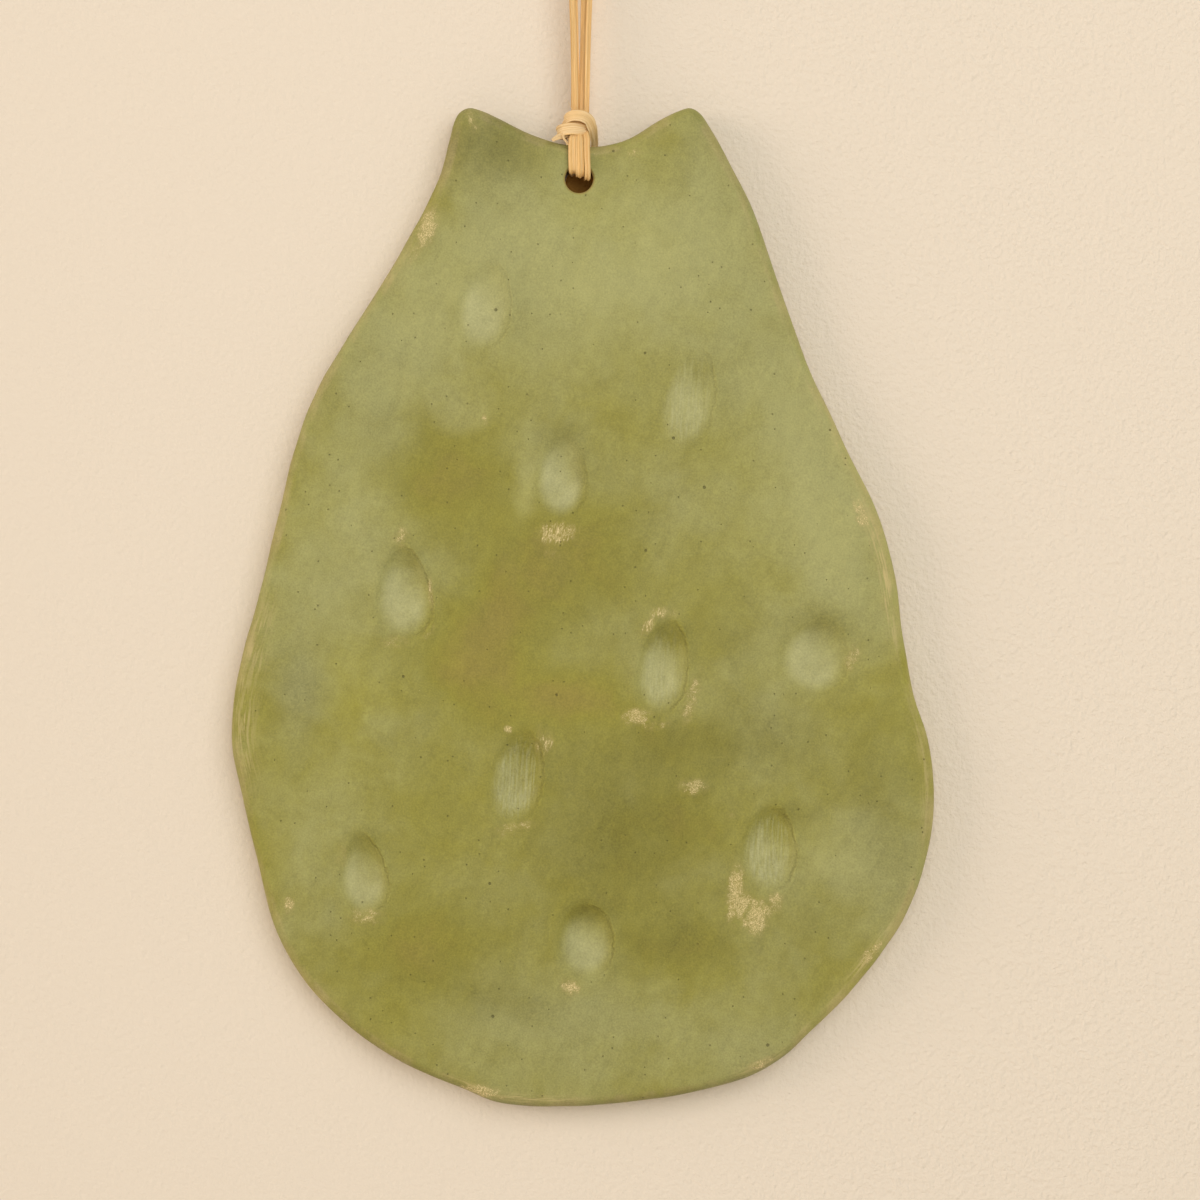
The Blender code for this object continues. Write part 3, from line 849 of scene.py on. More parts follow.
    # rows of x, z, half width, half height, lean, light and cool
    clouds: tuple[Cloud, ...] = tuple(Cloud(*row) for row in (
        (6.0, -82.0, 34.0, 20.0, 0.0, 0.55, 0.75), (-20.0, -57.0, 13.0, 9.0, 0.0, -1.15, -0.35),
        (25.0, -62.0, 9.0, 12.0, -20.0, -0.15, 0.35), (-14.0, -72.0, 12.0, 12.0, 0.0, -0.1, 0.5),
        (46.0, -118.0, 14.0, 30.0, -22.0, 0.25, 0.75), (56.0, -146.0, 10.0, 18.0, -15.0, 0.35, 0.65),
        (-52.0, -138.0, 13.0, 26.0, 20.0, 0.35, 0.65), (-34.0, -98.0, 12.0, 18.0, 30.0, 0.2, 0.45),
        (-61.0, -176.0, 6.0, 11.0, 0.0, -0.6, 0.6), (-50.0, -180.0, 8.0, 16.0, 0.0, 0.45, -0.15),
        (66.0, -206.0, 11.0, 20.0, -8.0, -0.6, 0.1), (56.0, -212.5, 8.5, 9.0, 0.0, 0.5, 0.4),
        (20.0, -249.0, 30.0, 9.0, 8.0, 0.0, 0.5), (-60.0, -206.0, 9.0, 16.0, 0.0, 0.2, 0.3),
        (34.0, -98.0, 12.0, 16.0, 0.0, -0.2, 0.1), (34.0, -144.0, 14.0, 16.0, 0.0, 0.1, 0.15),
        (-36.0, -121.0, 15.0, 9.0, 0.0, -0.35, -0.55), (-30.0, -132.0, 16.0, 9.0, 0.0, -0.25, -0.6),
        (0.0, -150.0, 22.0, 14.0, 0.0, -0.35, -0.65), (-18.0, -158.0, 11.0, 9.0, 0.0, -0.2, -0.8),
        (-24.0, -172.0, 13.0, 11.0, 0.0, -0.1, -0.95), (-2.0, -178.0, 13.0, 6.0, 0.0, 0.1, -0.75),
        (10.0, -207.0, 20.0, 19.0, 0.0, -0.95, -0.75), (20.0, -188.0, 16.0, 6.0, -6.0, -0.5, -0.4),
        (40.0, -187.0, 12.0, 8.0, 0.0, -0.6, 0.0), (34.0, -166.0, 7.0, 12.0, 0.0, -0.3, 0.0),
        (-26.0, -234.0, 24.0, 13.0, 0.0, -0.3, -0.65), (-36.0, -200.0, 14.0, 14.0, 0.0, 0.0, -0.55),
        (-14.0, -245.0, 17.0, 4.5, 10.0, -0.5, -0.2), (22.0, -232.0, 12.0, 6.0, 0.0, -0.75, -0.4),
        # from the second patch on the line below to the end, small patches paint shade on the dents' upper
        # and right sides, and one paints a highlight on the left side of a dent
        (48.0, -226.0, 10.0, 10.0, 0.0, -0.35, -0.2), (-4.0, -120.2, 5.0, 3.2, 0.0, -0.75, -0.2),
        (-12.0, -131.5, 2.6, 8.0, 4.0, 0.6, 0.35), (0.6, -129.0, 1.6, 7.0, 4.0, -0.5, -0.1),
        (53.5, -162.0, 7.0, 4.2, 0.0, -0.85, -0.3), (27.0, -106.0, 4.0, 4.0, 0.0, -0.4, -0.2),
        (-13.0, -92.0, 4.0, 8.0, 5.0, -0.45, -0.2), (45.0, -203.5, 6.0, 3.2, 0.0, -0.75, -0.2),
        (2.0, -224.6, 6.0, 3.0, 0.0, -0.7, -0.2), (-46.0, -209.6, 5.0, 3.0, 0.0, -0.65, -0.2),
        (-38.4, -147.4, 3.6, 3.4, 0.0, -0.6, -0.1), (19.5, -164.0, 5.0, 3.2, 0.0, -0.75, -0.3),
        (-12.0, -188.4, 5.0, 3.6, 0.0, -0.75, -0.3),
    ))
    glaze: GreenGlaze = GreenGlaze()

    def outline(self) -> np.ndarray:
        """Return the slab's widest outline, read from its CAD node, clockwise from the top."""
        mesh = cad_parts[self.node].data
        coords = np.empty(len(mesh.vertices) * 3)
        mesh.vertices.foreach_get("co", coords)
        coords = coords.reshape(-1, 3) / MM
        level = coords[np.abs(coords[:, 1] - self.widest_level) < 0.02][:, [0, 2]]
        corners = np.unique(np.round(level, 2), axis=0)
        turn = np.arctan2(corners[:, 0] - self.middle[0], corners[:, 1] - self.middle[1])
        return even_points(corners[np.argsort(turn)], self.rim_step, closed=True)

    def inwards(self, outline: np.ndarray) -> np.ndarray:
        """Return the direction into the slab at each point of the outline."""
        along = np.roll(outline, -2, axis=0) - np.roll(outline, 2, axis=0)
        normal = np.column_stack([along[:, 1], -along[:, 0]])
        return normal / np.linalg.norm(normal, axis=1)[:, None]

    def lift(self, x: np.ndarray, z: np.ndarray, edge: np.ndarray) -> np.ndarray:
        """Return how far the front face stands forward of its nominal plane.

        Args:
            x: Places to the right.
            z: Places up.
            edge: Each place's distance from the outline.

        Returns:
            Millimetres towards the viewer, below 0 in a dent.
        """
        height = self.broad_height * self.broad(x, z) + self.lump_height * self.lumps(x, z)
        height -= self.edge_fall * np.exp(-edge / self.edge_fall_reach)
        for dent in self.dents:
            height -= dent.drop(x, z)
        height += self.bump_height * np.exp(-1.6 * self.bump.radius(x, z) ** 2)
        out = np.hypot(x - self.hole[0], z - self.hole[1]) / self.hole_radius
        height -= self.mouth_sink * np.exp(-(((out - 1.0) / 0.35) ** 2))
        burr = np.clip((x - self.hole[0]) / self.hole_radius - 0.8, 0.0, 1.0)
        return height + self.burr_height * burr * np.exp(-(((out - 1.12) / 0.09) ** 2))

    def fill(
        self, outer: np.ndarray, inner: np.ndarray, step: float, fine: float | None = None
    ) -> tuple[np.ndarray, np.ndarray]:
        """Fill the face between two loops with even triangles.

        Args:
            outer: The rim's loop.
            inner: The hole's loop.
            step: Space between the filling points.
            fine: Space between them in and round the dents, where it is finer.

        Returns:
            Points, the two loops' first and in order, and the triangles between them.
        """
        grid = self.grid(outer, step)
        if fine is not None:
            close = self.grid(outer, fine)
            grid = np.vstack([
                grid[self.dent_reach(*grid.T) > self.fine_reach],
                close[self.dent_reach(*close.T) < self.fine_reach - 0.02 * step / fine],
            ])
        clear_rim = self.nearest(grid, outer)[0] > self.clearance * step
        clear_hole = self.nearest(grid, inner)[0] > self.clearance * step
        inside = self.within(grid, outer) & ~self.within(grid, inner)
        points = np.vstack([outer, inner, grid[clear_rim & clear_hole & inside]])
        loops = [list(range(len(outer))), list(range(len(outer), len(outer) + len(inner)))]
        edges = [(loop[i - 1], loop[i]) for loop in loops for i in range(len(loop))]
        coords, _, faces, sources, _, _ = delaunay_2d_cdt(
            [Vector(p) for p in points], edges, [loops[0]], 1, 1e-7
        )
        index = np.array([source[0] for source in sources])
        triangles = index[np.array(faces)]
        centres = points[triangles].mean(axis=1)
        keep = ~self.within(centres, inner)
        return points, self.wound(points, triangles[keep])

    @staticmethod
    def grid(loop: np.ndarray, step: float) -> np.ndarray:
        """Return the points of a triangular grid over the loop's box."""
        low, high = loop.min(axis=0), loop.max(axis=0)
        rows = np.arange(low[1], high[1], step * math.sqrt(3) / 2)
        columns = np.arange(low[0], high[0], step)
        return np.array([(x + step / 2 * (i % 2), z) for i, z in enumerate(rows) for x in columns])

    def dent_reach(self, x: np.ndarray, z: np.ndarray) -> np.ndarray:
        """Return the share of the way to the edge of the nearest dent."""
        return np.min([dent.reach(x, z) for dent in self.dents], axis=0)

    @staticmethod
    def wound(points: np.ndarray, triangles: np.ndarray) -> np.ndarray:
        """Return the triangles all running anticlockwise."""
        a, b, c = (points[triangles[:, i]] for i in range(3))
        area = (b[:, 0] - a[:, 0]) * (c[:, 1] - a[:, 1]) - (b[:, 1] - a[:, 1]) * (c[:, 0] - a[:, 0])
        triangles[area < 0] = triangles[area < 0][:, ::-1]
        return triangles

    @staticmethod
    def nearest(points: np.ndarray, loop: np.ndarray) -> tuple[np.ndarray, np.ndarray]:
        """Return how far each point is from the loop, and the number of the loop's nearest point."""
        tree = kdtree.KDTree(len(loop))
        for i, (x, z) in enumerate(loop):
            tree.insert((x, 0.0, z), i)
        tree.balance()
        found = [tree.find((x, 0.0, z)) for x, z in points]
        return np.array([f[2] for f in found]), np.array([f[1] for f in found])

    @staticmethod
    def within(points: np.ndarray, loop: np.ndarray) -> np.ndarray:
        """Return whether each point lies inside the loop."""
        inside = np.zeros(len(points), bool)
        for (x0, z0), (x1, z1) in zip(loop, np.roll(loop, -1, axis=0)):
            if z0 == z1:
                continue
            crosses = (z0 > points[:, 1]) != (z1 > points[:, 1])
            at = x0 + (points[:, 1] - z0) * (x1 - x0) / (z1 - z0)
            inside ^= crosses & (points[:, 0] < at)
        return inside

    def build(self) -> bpy.types.Object:
        """Make the plaque, dress it and put it in the CAD slab's place.

        Returns:
            The finished piece.
        """
        outline = self.outline()
        inwards = self.inwards(outline)
        turns = np.linspace(0.0, 2 * math.pi, self.hole_points, endpoint=False)
        ray = np.column_stack([np.sin(turns), np.cos(turns)])
        hole = np.array(self.hole)

        verts: list[np.ndarray] = []
        faces: list[np.ndarray] = []
        sheets: dict[Mark, list[np.ndarray]] = {mark: [] for mark in Mark}

        def add(x: np.ndarray, y: np.ndarray, z: np.ndarray, marks: dict[Mark, Any]) -> int:
            """Add vertices with their marks and return the first one's number."""
            start = sum(len(part) for part in verts)
            verts.append(np.column_stack([x, y, z]))
            for mark, values in sheets.items():
                values.append(np.broadcast_to(np.asarray(marks.get(mark, 0.0), float), x.shape))
            return start

        def bridge(first: int, second: int, count: int) -> None:
            """Add a band of faces between two loops."""
            i = np.arange(count)
            j = (i + 1) % count
            faces.append(np.column_stack([first + i, first + j, second + j, second + i]))

        # front face, between the rounded rim and the rounded mouth of the hole
        rim = outline + inwards * self.round_in
        mouth = hole + ray * (self.hole_radius + self.mouth_round)
        flat, triangles = self.fill(rim, mouth, self.front_step, self.dent_step)
        edge, beside = self.nearest(flat, outline)
        x, z = flat.T
        front = add(x, -self.thickness - self.lift(x, z, edge), z, self.front_marks(x, z, edge, beside))
        faces.append(triangles + front)

        # rim, from the front face round to the back face
        count = len(outline)
        previous = front
        side_wave = self.lumps(outline[:, 0] + 500.0, outline[:, 1])
        for inset, y, share in self.rim_profile():
            place = outline + inwards * (inset - 0.1 * side_wave[:, None] * (1 - share))
            x, z = place.T
            raised = self.lift(x, z, np.full(count, self.round_in)) * share
            marks = self.front_marks(x, z, np.full(count, inset), np.arange(count))
            marks[Mark.RIM] = 1.0
            marks[Mark.BARE_AND_HOLE_SHADE] = float(ease(np.array(y), -1.3, -0.2))
            loop = add(x, np.full(count, y) - raised, z, marks)
            bridge(previous, loop, count)
            previous = loop

        # back face
        rim = outline + inwards * self.back_round[0]
        mouth = hole + ray * (self.hole_radius + self.mouth_round)
        flat, triangles = self.fill(rim, mouth, self.back_step)
        x, z = flat.T
        back = add(x, np.zeros(len(x)), z, {Mark.BARE_AND_HOLE_SHADE: 1.0})
        faces.append(triangles[:, ::-1] + back)
        bridge(previous, back, count)

        # hole, from the front mouth through to the back
        loops = []
        for level in np.linspace(0.0, 1.0, 5)[1:]:
            turn = level * math.pi / 2
            out = self.hole_radius + self.mouth_round * (1 - math.sin(turn))
            x, z = (hole + ray * out).T
            sunk = self.mouth_round * (1 - math.cos(turn))
            y = -self.thickness - self.lift(x, z, np.full(len(x), 9.0)) + sunk
            loops.append(add(x, y, z, {Mark.BARE_AND_HOLE_SHADE: 0.1 + 0.9 * level}))
        # bare values above 1 here stand for painted shade deep in the hole
        for y, share in ((-5.8, 1.7), (-4.5, 2.0), (-2.2, 2.0), (-self.mouth_round, 2.0)):
            x, z = (hole + ray * self.hole_radius).T
            loops.append(add(x, np.full(len(x), y), z, {Mark.BARE_AND_HOLE_SHADE: share}))
        last = front + count
        for loop in loops:
            bridge(loop, last, self.hole_points)
            last = loop
        bridge(back + count, last, self.hole_points)

        mesh = new_mesh(self.node, np.vstack(verts) * MM, [f for part in faces for f in part.tolist()])
        for mark, values in sheets.items():
            layer = mesh.attributes.new(mark.value, "FLOAT", "POINT")
            layer.data.foreach_set("value", np.concatenate(values).astype(np.float32))
        face_out(mesh)
        mesh.materials.append(self.glaze.material())
        plaque = add_piece("plaque_clay", mesh)
        attach(plaque, "green_ceramic", self.node)
        return plaque

    def rim_profile(self) -> list[tuple[float, float, float]]:
        """Return the rim's section as (inset, y, share of the front face's waves)."""
        steps = []
        for step in range(1, self.round_steps + 1):
            turn = math.pi / 2 * (1 - step / self.round_steps)
            inset = self.round_in * (1 - math.cos(turn))
            y = -(self.thickness - self.round_deep) - self.round_deep * math.sin(turn)
            steps.append((inset, y, math.sin(turn)))
        wide, deep = self.back_round
        for y in (-3.4, -2.5):
            steps.append((0.0, y, 0.0))
        for step in range(5):
            turn = math.pi / 2 * step / 5
            steps.append((wide * (1 - math.cos(turn)), -deep * (1 - math.sin(turn)), 0.0))
        return steps

    def front_marks(
        self, x: np.ndarray, z: np.ndarray, edge: np.ndarray, beside: np.ndarray
    ) -> dict[Mark, np.ndarray]:
        """Return what the glaze needs to know about places on the front.

        Args:
            x: Places to the right.
            z: Places up.
            edge: Each place's distance from the outline.
            beside: The number of the outline's point that each place lies nearest to.

        Returns:
            Values by mark.
        """
        marks = {mark: np.zeros_like(x) for mark in Mark}
        marks[Mark.REACH] += 3.0
        for dent in self.dents:
            reach = dent.reach(x, z)
            across, along = dent.local(x, z)
            # pooled glaze and a painted highlight, strongest on the dent's lower left where the light falls
            low = 1 - 0.85 * ease(along + 0.5 * across, -0.25, 0.75)
            marks[Mark.POOL_AND_HIGHLIGHT] += dent.pool * (1 - ease(reach, 0.55, 1.0)) * low
            marks[Mark.LINES] += dent.lined * (1 - ease(reach, 0.6, 1.0))
            # the crease, bumped and painted as shade, is strongest on the dent's right side
            right = ease(across, -0.15, 0.6) * (1 - ease(-along, 0.75, 1.05))
            near = reach < self.fine_reach
            marks[Mark.REACH] = np.where(near, reach, marks[Mark.REACH])
            crease = dent.edge * np.maximum(right, 0.12)
            marks[Mark.EDGE] = np.where(near, crease, marks[Mark.EDGE])
        for spot in self.worn:
            name = spot.wear.value
            marks[name] = np.maximum(marks[name], spot.amount(x, z))
        # the clouds' tone, with the painted shade and highlight of the small ones at the dents
        for cloud in self.clouds:
            marks[Mark.LIGHT] += cloud.light * cloud.share(x, z)
            marks[Mark.COOL] += cloud.cool * cloud.share(x, z)
        for stretch in self.brushed:
            wiped = stretch.amount(x, z, edge)
            marks[Mark.BRUSHED] = np.maximum(marks[Mark.BRUSHED], wiped)
        # painted highlight along the right-hand rim, and painted shade along the bottom rim
        marks[Mark.LIGHT] += 0.85 * np.exp(-((edge / 2.0) ** 2)) * ease(x, 35.0, 62.0)
        marks[Mark.LIGHT] -= 0.75 * np.exp(-((edge / 1.8) ** 2)) * ease(-z, 240.0, 262.0)
        marks[Mark.FROM_EDGE] = edge
        marks[Mark.ALONG_EDGE] = beside * self.rim_step
        marks[Mark.RIM] = np.exp(-edge / 1.8)
        return marks


# ------------------------------------------------------------------ raffia


class RibbonSweep(Wiring):
    """Geometry nodes that sweep a creased ribbon along a path that says which way it faces."""

    SECTION_POINTS = 28

    def __init__(self) -> None:
        """Build the tree."""
        self.tree = bpy.data.node_groups.new("ribbon_sweep", "GeometryNodeTree")
        face = self.tree.interface
        face.new_socket("Geometry", in_out="OUTPUT", socket_type="NodeSocketGeometry")
        face.new_socket("Geometry", in_out="INPUT", socket_type="NodeSocketGeometry")
        for name in ("Width", "Thickness", "Crease Depth", "Creases", "Ridges", "Lane"):
            face.new_socket(name, in_out="INPUT", socket_type="NodeSocketFloat")
        face.new_socket("Material", in_out="INPUT", socket_type="NodeSocketMaterial")
        self.wire()

    def keep(self, geometry: Socket, name: str, value: Any) -> Socket:
        """Store a number on every point under that name."""
        inputs = {"Geometry": geometry, "Name": name, "Value": value}
        return self.node("GeometryNodeStoreNamedAttribute", {}, inputs).outputs[0]

    def read(self, name: str, kind: str = "FLOAT") -> Socket:
        """Return the attribute of that name."""
        made = self.node("GeometryNodeInputNamedAttribute", {"data_type": kind}, {"Name": name})
        return made.outputs[0]

    def wire(self) -> None:
        """Wire the path, the section and the sweep together."""
        given = self.node("NodeGroupInput", {}, {}).outputs
        path = self.node("GeometryNodeMeshToCurve", {}, {"Mesh": given["Geometry"]}).outputs[0]
        spline = self.node("GeometryNodeSplineParameter", {}, {})
        path = self.keep(path, "along", spline.outputs["Length"])
        facing = {"Curve": path, "Normal": self.read("facing", "FLOAT_VECTOR")}
        path = self.node("GeometryNodeSetCurveNormal", {"mode": "FREE"}, facing).outputs[0]

        round_one = {"Resolution": self.SECTION_POINTS, "Radius": 1.0}
        ring = self.node("GeometryNodeCurvePrimitiveCircle", {}, round_one)
        where = self.node("GeometryNodeInputPosition", {}, {}).outputs[0]
        split = self.node("ShaderNodeSeparateXYZ", {}, {0: where}).outputs
        section = self.keep(ring.outputs[0], "across", split[0])
        wave = self.sum("SINE", self.sum("MULTIPLY_ADD", split[0], given["Creases"], given["Lane"]))
        crease = self.times(wave, given["Crease Depth"])
        half_thick = self.times(given["Thickness"], 0.5)
        high = self.sum("MULTIPLY_ADD", split[1], half_thick, crease)
        half_wide = self.times(given["Width"], 0.5)
        wide = self.times(split[0], half_wide)
        place = self.node("ShaderNodeCombineXYZ", {}, {0: high, 1: wide})
        moved = {"Geometry": section, "Position": place.outputs[0]}
        section = self.node("GeometryNodeSetPosition", {}, moved).outputs[0]

        sweep = {"Curve": path, "Profile Curve": section, "Scale": self.read("span"), "Fill Caps": True}
        ribbon = self.node("GeometryNodeCurveToMesh", {}, sweep).outputs[0]
        ribbon = self.keep(ribbon, "lane", given["Lane"])
        grid = self.node(
            "ShaderNodeCombineXYZ", {},
            {0: self.times(self.read("across"), 3.2),
             1: self.times(self.read("along"), 70.0),
             2: given["Lane"]},
        )
        noise = self.node("ShaderNodeTexNoise", {}, {"Vector": grid.outputs[0], "Scale": 1.0, "Detail": 2.0})
        swell = self.times(self.sum("SUBTRACT", noise.outputs[0], 0.5), given["Ridges"])
        normal = self.node("GeometryNodeInputNormal", {}, {}).outputs[0]
        push = self.node("ShaderNodeVectorMath", {"operation": "SCALE"}, {0: normal, "Scale": swell})
        shaped = {"Geometry": ribbon, "Offset": push.outputs[0]}
        ribbon = self.node("GeometryNodeSetPosition", {}, shaped).outputs[0]
        ribbon = self.node("GeometryNodeSetShadeSmooth", {}, {0: ribbon}).outputs[0]
        ribbon = self.node("GeometryNodeRealizeInstances", {}, {0: ribbon}).outputs[0]
        dressed = {"Geometry": ribbon, "Material": given["Material"]}
        ribbon = self.node("GeometryNodeSetMaterial", {}, dressed).outputs[0]
        self.node("NodeGroupOutput", {}, {0: ribbon})

    def identifier(self, name: str) -> str:
        """Return the identifier of the input with that name."""
        items = self.tree.interface.items_tree
        return next(i.identifier for i in items if i.name == name and i.in_out == "INPUT")

    def sweep(self, name: str, ribbon: "Ribbon", fibre: bpy.types.Material) -> bpy.types.Object:
        """Make one ribbon as a plain mesh object.

        Args:
            name: The object's name.
            ribbon: Its path and section.
            fibre: Its material.

        Returns:
            The object, at the origin, with no modifier left.
        """
        points, facing, span = ribbon.samples()
        guide = bpy.data.meshes.new(name + "_guide")
        guide.from_pydata((points * MM).tolist(), [(i, i + 1) for i in range(len(points) - 1)], [])
        guide.attributes.new("facing", "FLOAT_VECTOR", "POINT").data.foreach_set("vector", facing.ravel())
        guide.attributes.new("span", "FLOAT", "POINT").data.foreach_set("value", span)
        holder = add_piece(name + "_guide", guide)
        modifier = holder.modifiers.new("sweep", "NODES")
        modifier.node_group = self.tree
        settings = {
            "Width": ribbon.width * MM,
            "Thickness": ribbon.thickness * MM,
            "Crease Depth": ribbon.crease_depth * MM,
            "Creases": ribbon.creases,
            "Ridges": ribbon.ridges * MM,
            "Lane": ribbon.lane,
            "Material": fibre,
        }
        for key, value in settings.items():
            modifier[self.identifier(key)] = value
        depsgraph = bpy.context.evaluated_depsgraph_get()
        mesh = bpy.data.meshes.new_from_object(
            holder.evaluated_get(depsgraph), preserve_all_data_layers=True, depsgraph=depsgraph
        )
        mesh.name = name
        bpy.data.objects.remove(holder)
        face_out(mesh)
        return add_piece(name, mesh)


@dataclass
class Ribbon:
    """A flat raffia ribbon's path and section.

    Attributes:
        route: Points it passes through.
        facing: Gives the way its flat side faces from (points, directions along).
        width: Full width.
        thickness: Thickness of the leaf.
        crease_depth: Depth of the folds that run along it.
        creases: How many folds cross its width, in half turns of a wave.
        ridges: Size of the fine ridges that run along it.
        lane: Sets its folds and fibres apart from other ribbons'.
        spans: Its width at even steps along it, as shares of the full width.
        step: Space between the rings of its mesh.
    """

    route: Sequence[Point3]
    facing: Callable[[np.ndarray, np.ndarray], np.ndarray]
    width: float
    thickness: float = 0.2
    crease_depth: float = 0.12
    creases: float = 5.0
    ridges: float = 0.12
    lane: float = 0.0
    spans: Sequence[float] = (1.0,)
    step: float = 0.35

    def samples(self) -> tuple[np.ndarray, np.ndarray, np.ndarray]:
        """Return the path's points, the way each faces and its share of the width."""
        points = even_points(self.route, self.step)
        along = np.gradient(points, axis=0)
        along /= np.linalg.norm(along, axis=1)[:, None]
        facing = self.facing(points, along)
        facing -= along * np.einsum("ij,ij->i", facing, along)[:, None]
        facing /= np.linalg.norm(facing, axis=1)[:, None]
        stops = np.linspace(0.0, 1.0, len(self.spans))
        span = np.interp(np.linspace(0.0, 1.0, len(points)), stops, self.spans)
        return points, facing, span

    def length(self) -> float:
        """Return the path's length in metres."""
        points, _, _ = self.samples()
        return float(np.linalg.norm(np.diff(points, axis=0), axis=1).sum()) * MM


@dataclass(frozen=True)
class RaffiaStrand:
    """One strand, from the knot down the front, through the hole, up the back, and up over the hook.

    Attributes:
        side: Which strand it is, as in its CAD nodes' names.
        tie: Its route from the knot through the hole and back to the knot.
        hanger: Its route from the knot over the hook and back to the knot.
        width: Width of its ribbon.
        spans: Its width at even steps along it, as shares of the full width.
        lane: Sets its folds and fibres apart.
        sway: How far its flat side turns from side to side along it.
    """

    side: str
    tie: Sequence[Point3]
    hanger: Sequence[Point3]
    width: float
    spans: Sequence[float]
    lane: float
    sway: float = 0.3

    def facing(self, points: np.ndarray, along: np.ndarray) -> np.ndarray:
        """Return the way its flat side faces.

        Below the knot it lies against the plaque, above it faces the front, and near the hook
        it turns to lie on the hook.

        Args:
            points: Places on its path, in millimetres.
            along: The path's direction at each.

        Returns:
            Directions, one a row.
        """
        turn = self.sway * np.sin(points[:, 2] / 6.5 + 2.1 * self.lane)[:, None]
        lower = np.cross(along, (1.0, 0.0, 0.0)) + turn * (0.6, 0.0, 0.0)
        upper = np.array((0.0, -1.0, 0.0)) + turn * (1.0, 0.0, 0.0)
        on_hook = np.cross(along, (0.0, 1.0, 0.0))
        share = ease(points[:, 2], -55.0, -51.0)[:, None]
        hooked = ease(points[:, 2], -20.0, -7.0)[:, None]
        return (lower * (1 - share) + upper * share) * (1 - hooked) + on_hook * hooked

    def route(self) -> list[Point3]:
        """Return the whole route, with the stretches inside the knot."""
        first, last = self.tie[0], self.tie[-1]
        up, down = self.hanger[0], self.hanger[-1]
        inside = [
            (last[0] * 0.9, -1.6, -54.6),
            (last[0] * 0.7, -3.2, -52.6),
            (up[0], up[1] * 0.9, -50.6),
        ]
        start = (first[0] * 0.8, -7.4, -54.0)
        return [start, *self.tie, *inside, *self.hanger, (down[0], down[1], -50.8)]

    def ribbon(self) -> Ribbon:
        """Return the strand's ribbon."""
        return Ribbon(
            self.route(), self.facing, self.width, thickness=0.2, crease_depth=0.17,
            creases=4.6, ridges=0.16, lane=self.lane, spans=self.spans,
        )

    def build(self, sweep: RibbonSweep, fibre: bpy.types.Material) -> bpy.types.Object:
        """Make the strand and put it in its CAD tubes' place.

        Args:
            sweep: The ribbon maker.
            fibre: The raffia's material.

        Returns:
            The strand.
        """
        strand = sweep.sweep(f"raffia_strand_{self.side}", self.ribbon(), fibre)
        attach(strand, "raffia", f"raffia_tie_{self.side}", f"raffia_hanger_{self.side}")
        return strand

    def declare(self, strand: bpy.types.Object, length: float, on_it: Sequence[bpy.types.Object]) -> None:
        """Work out the points of the strand's ribbon, and nothing more."""
        points, _, _ = self.ribbon().samples()


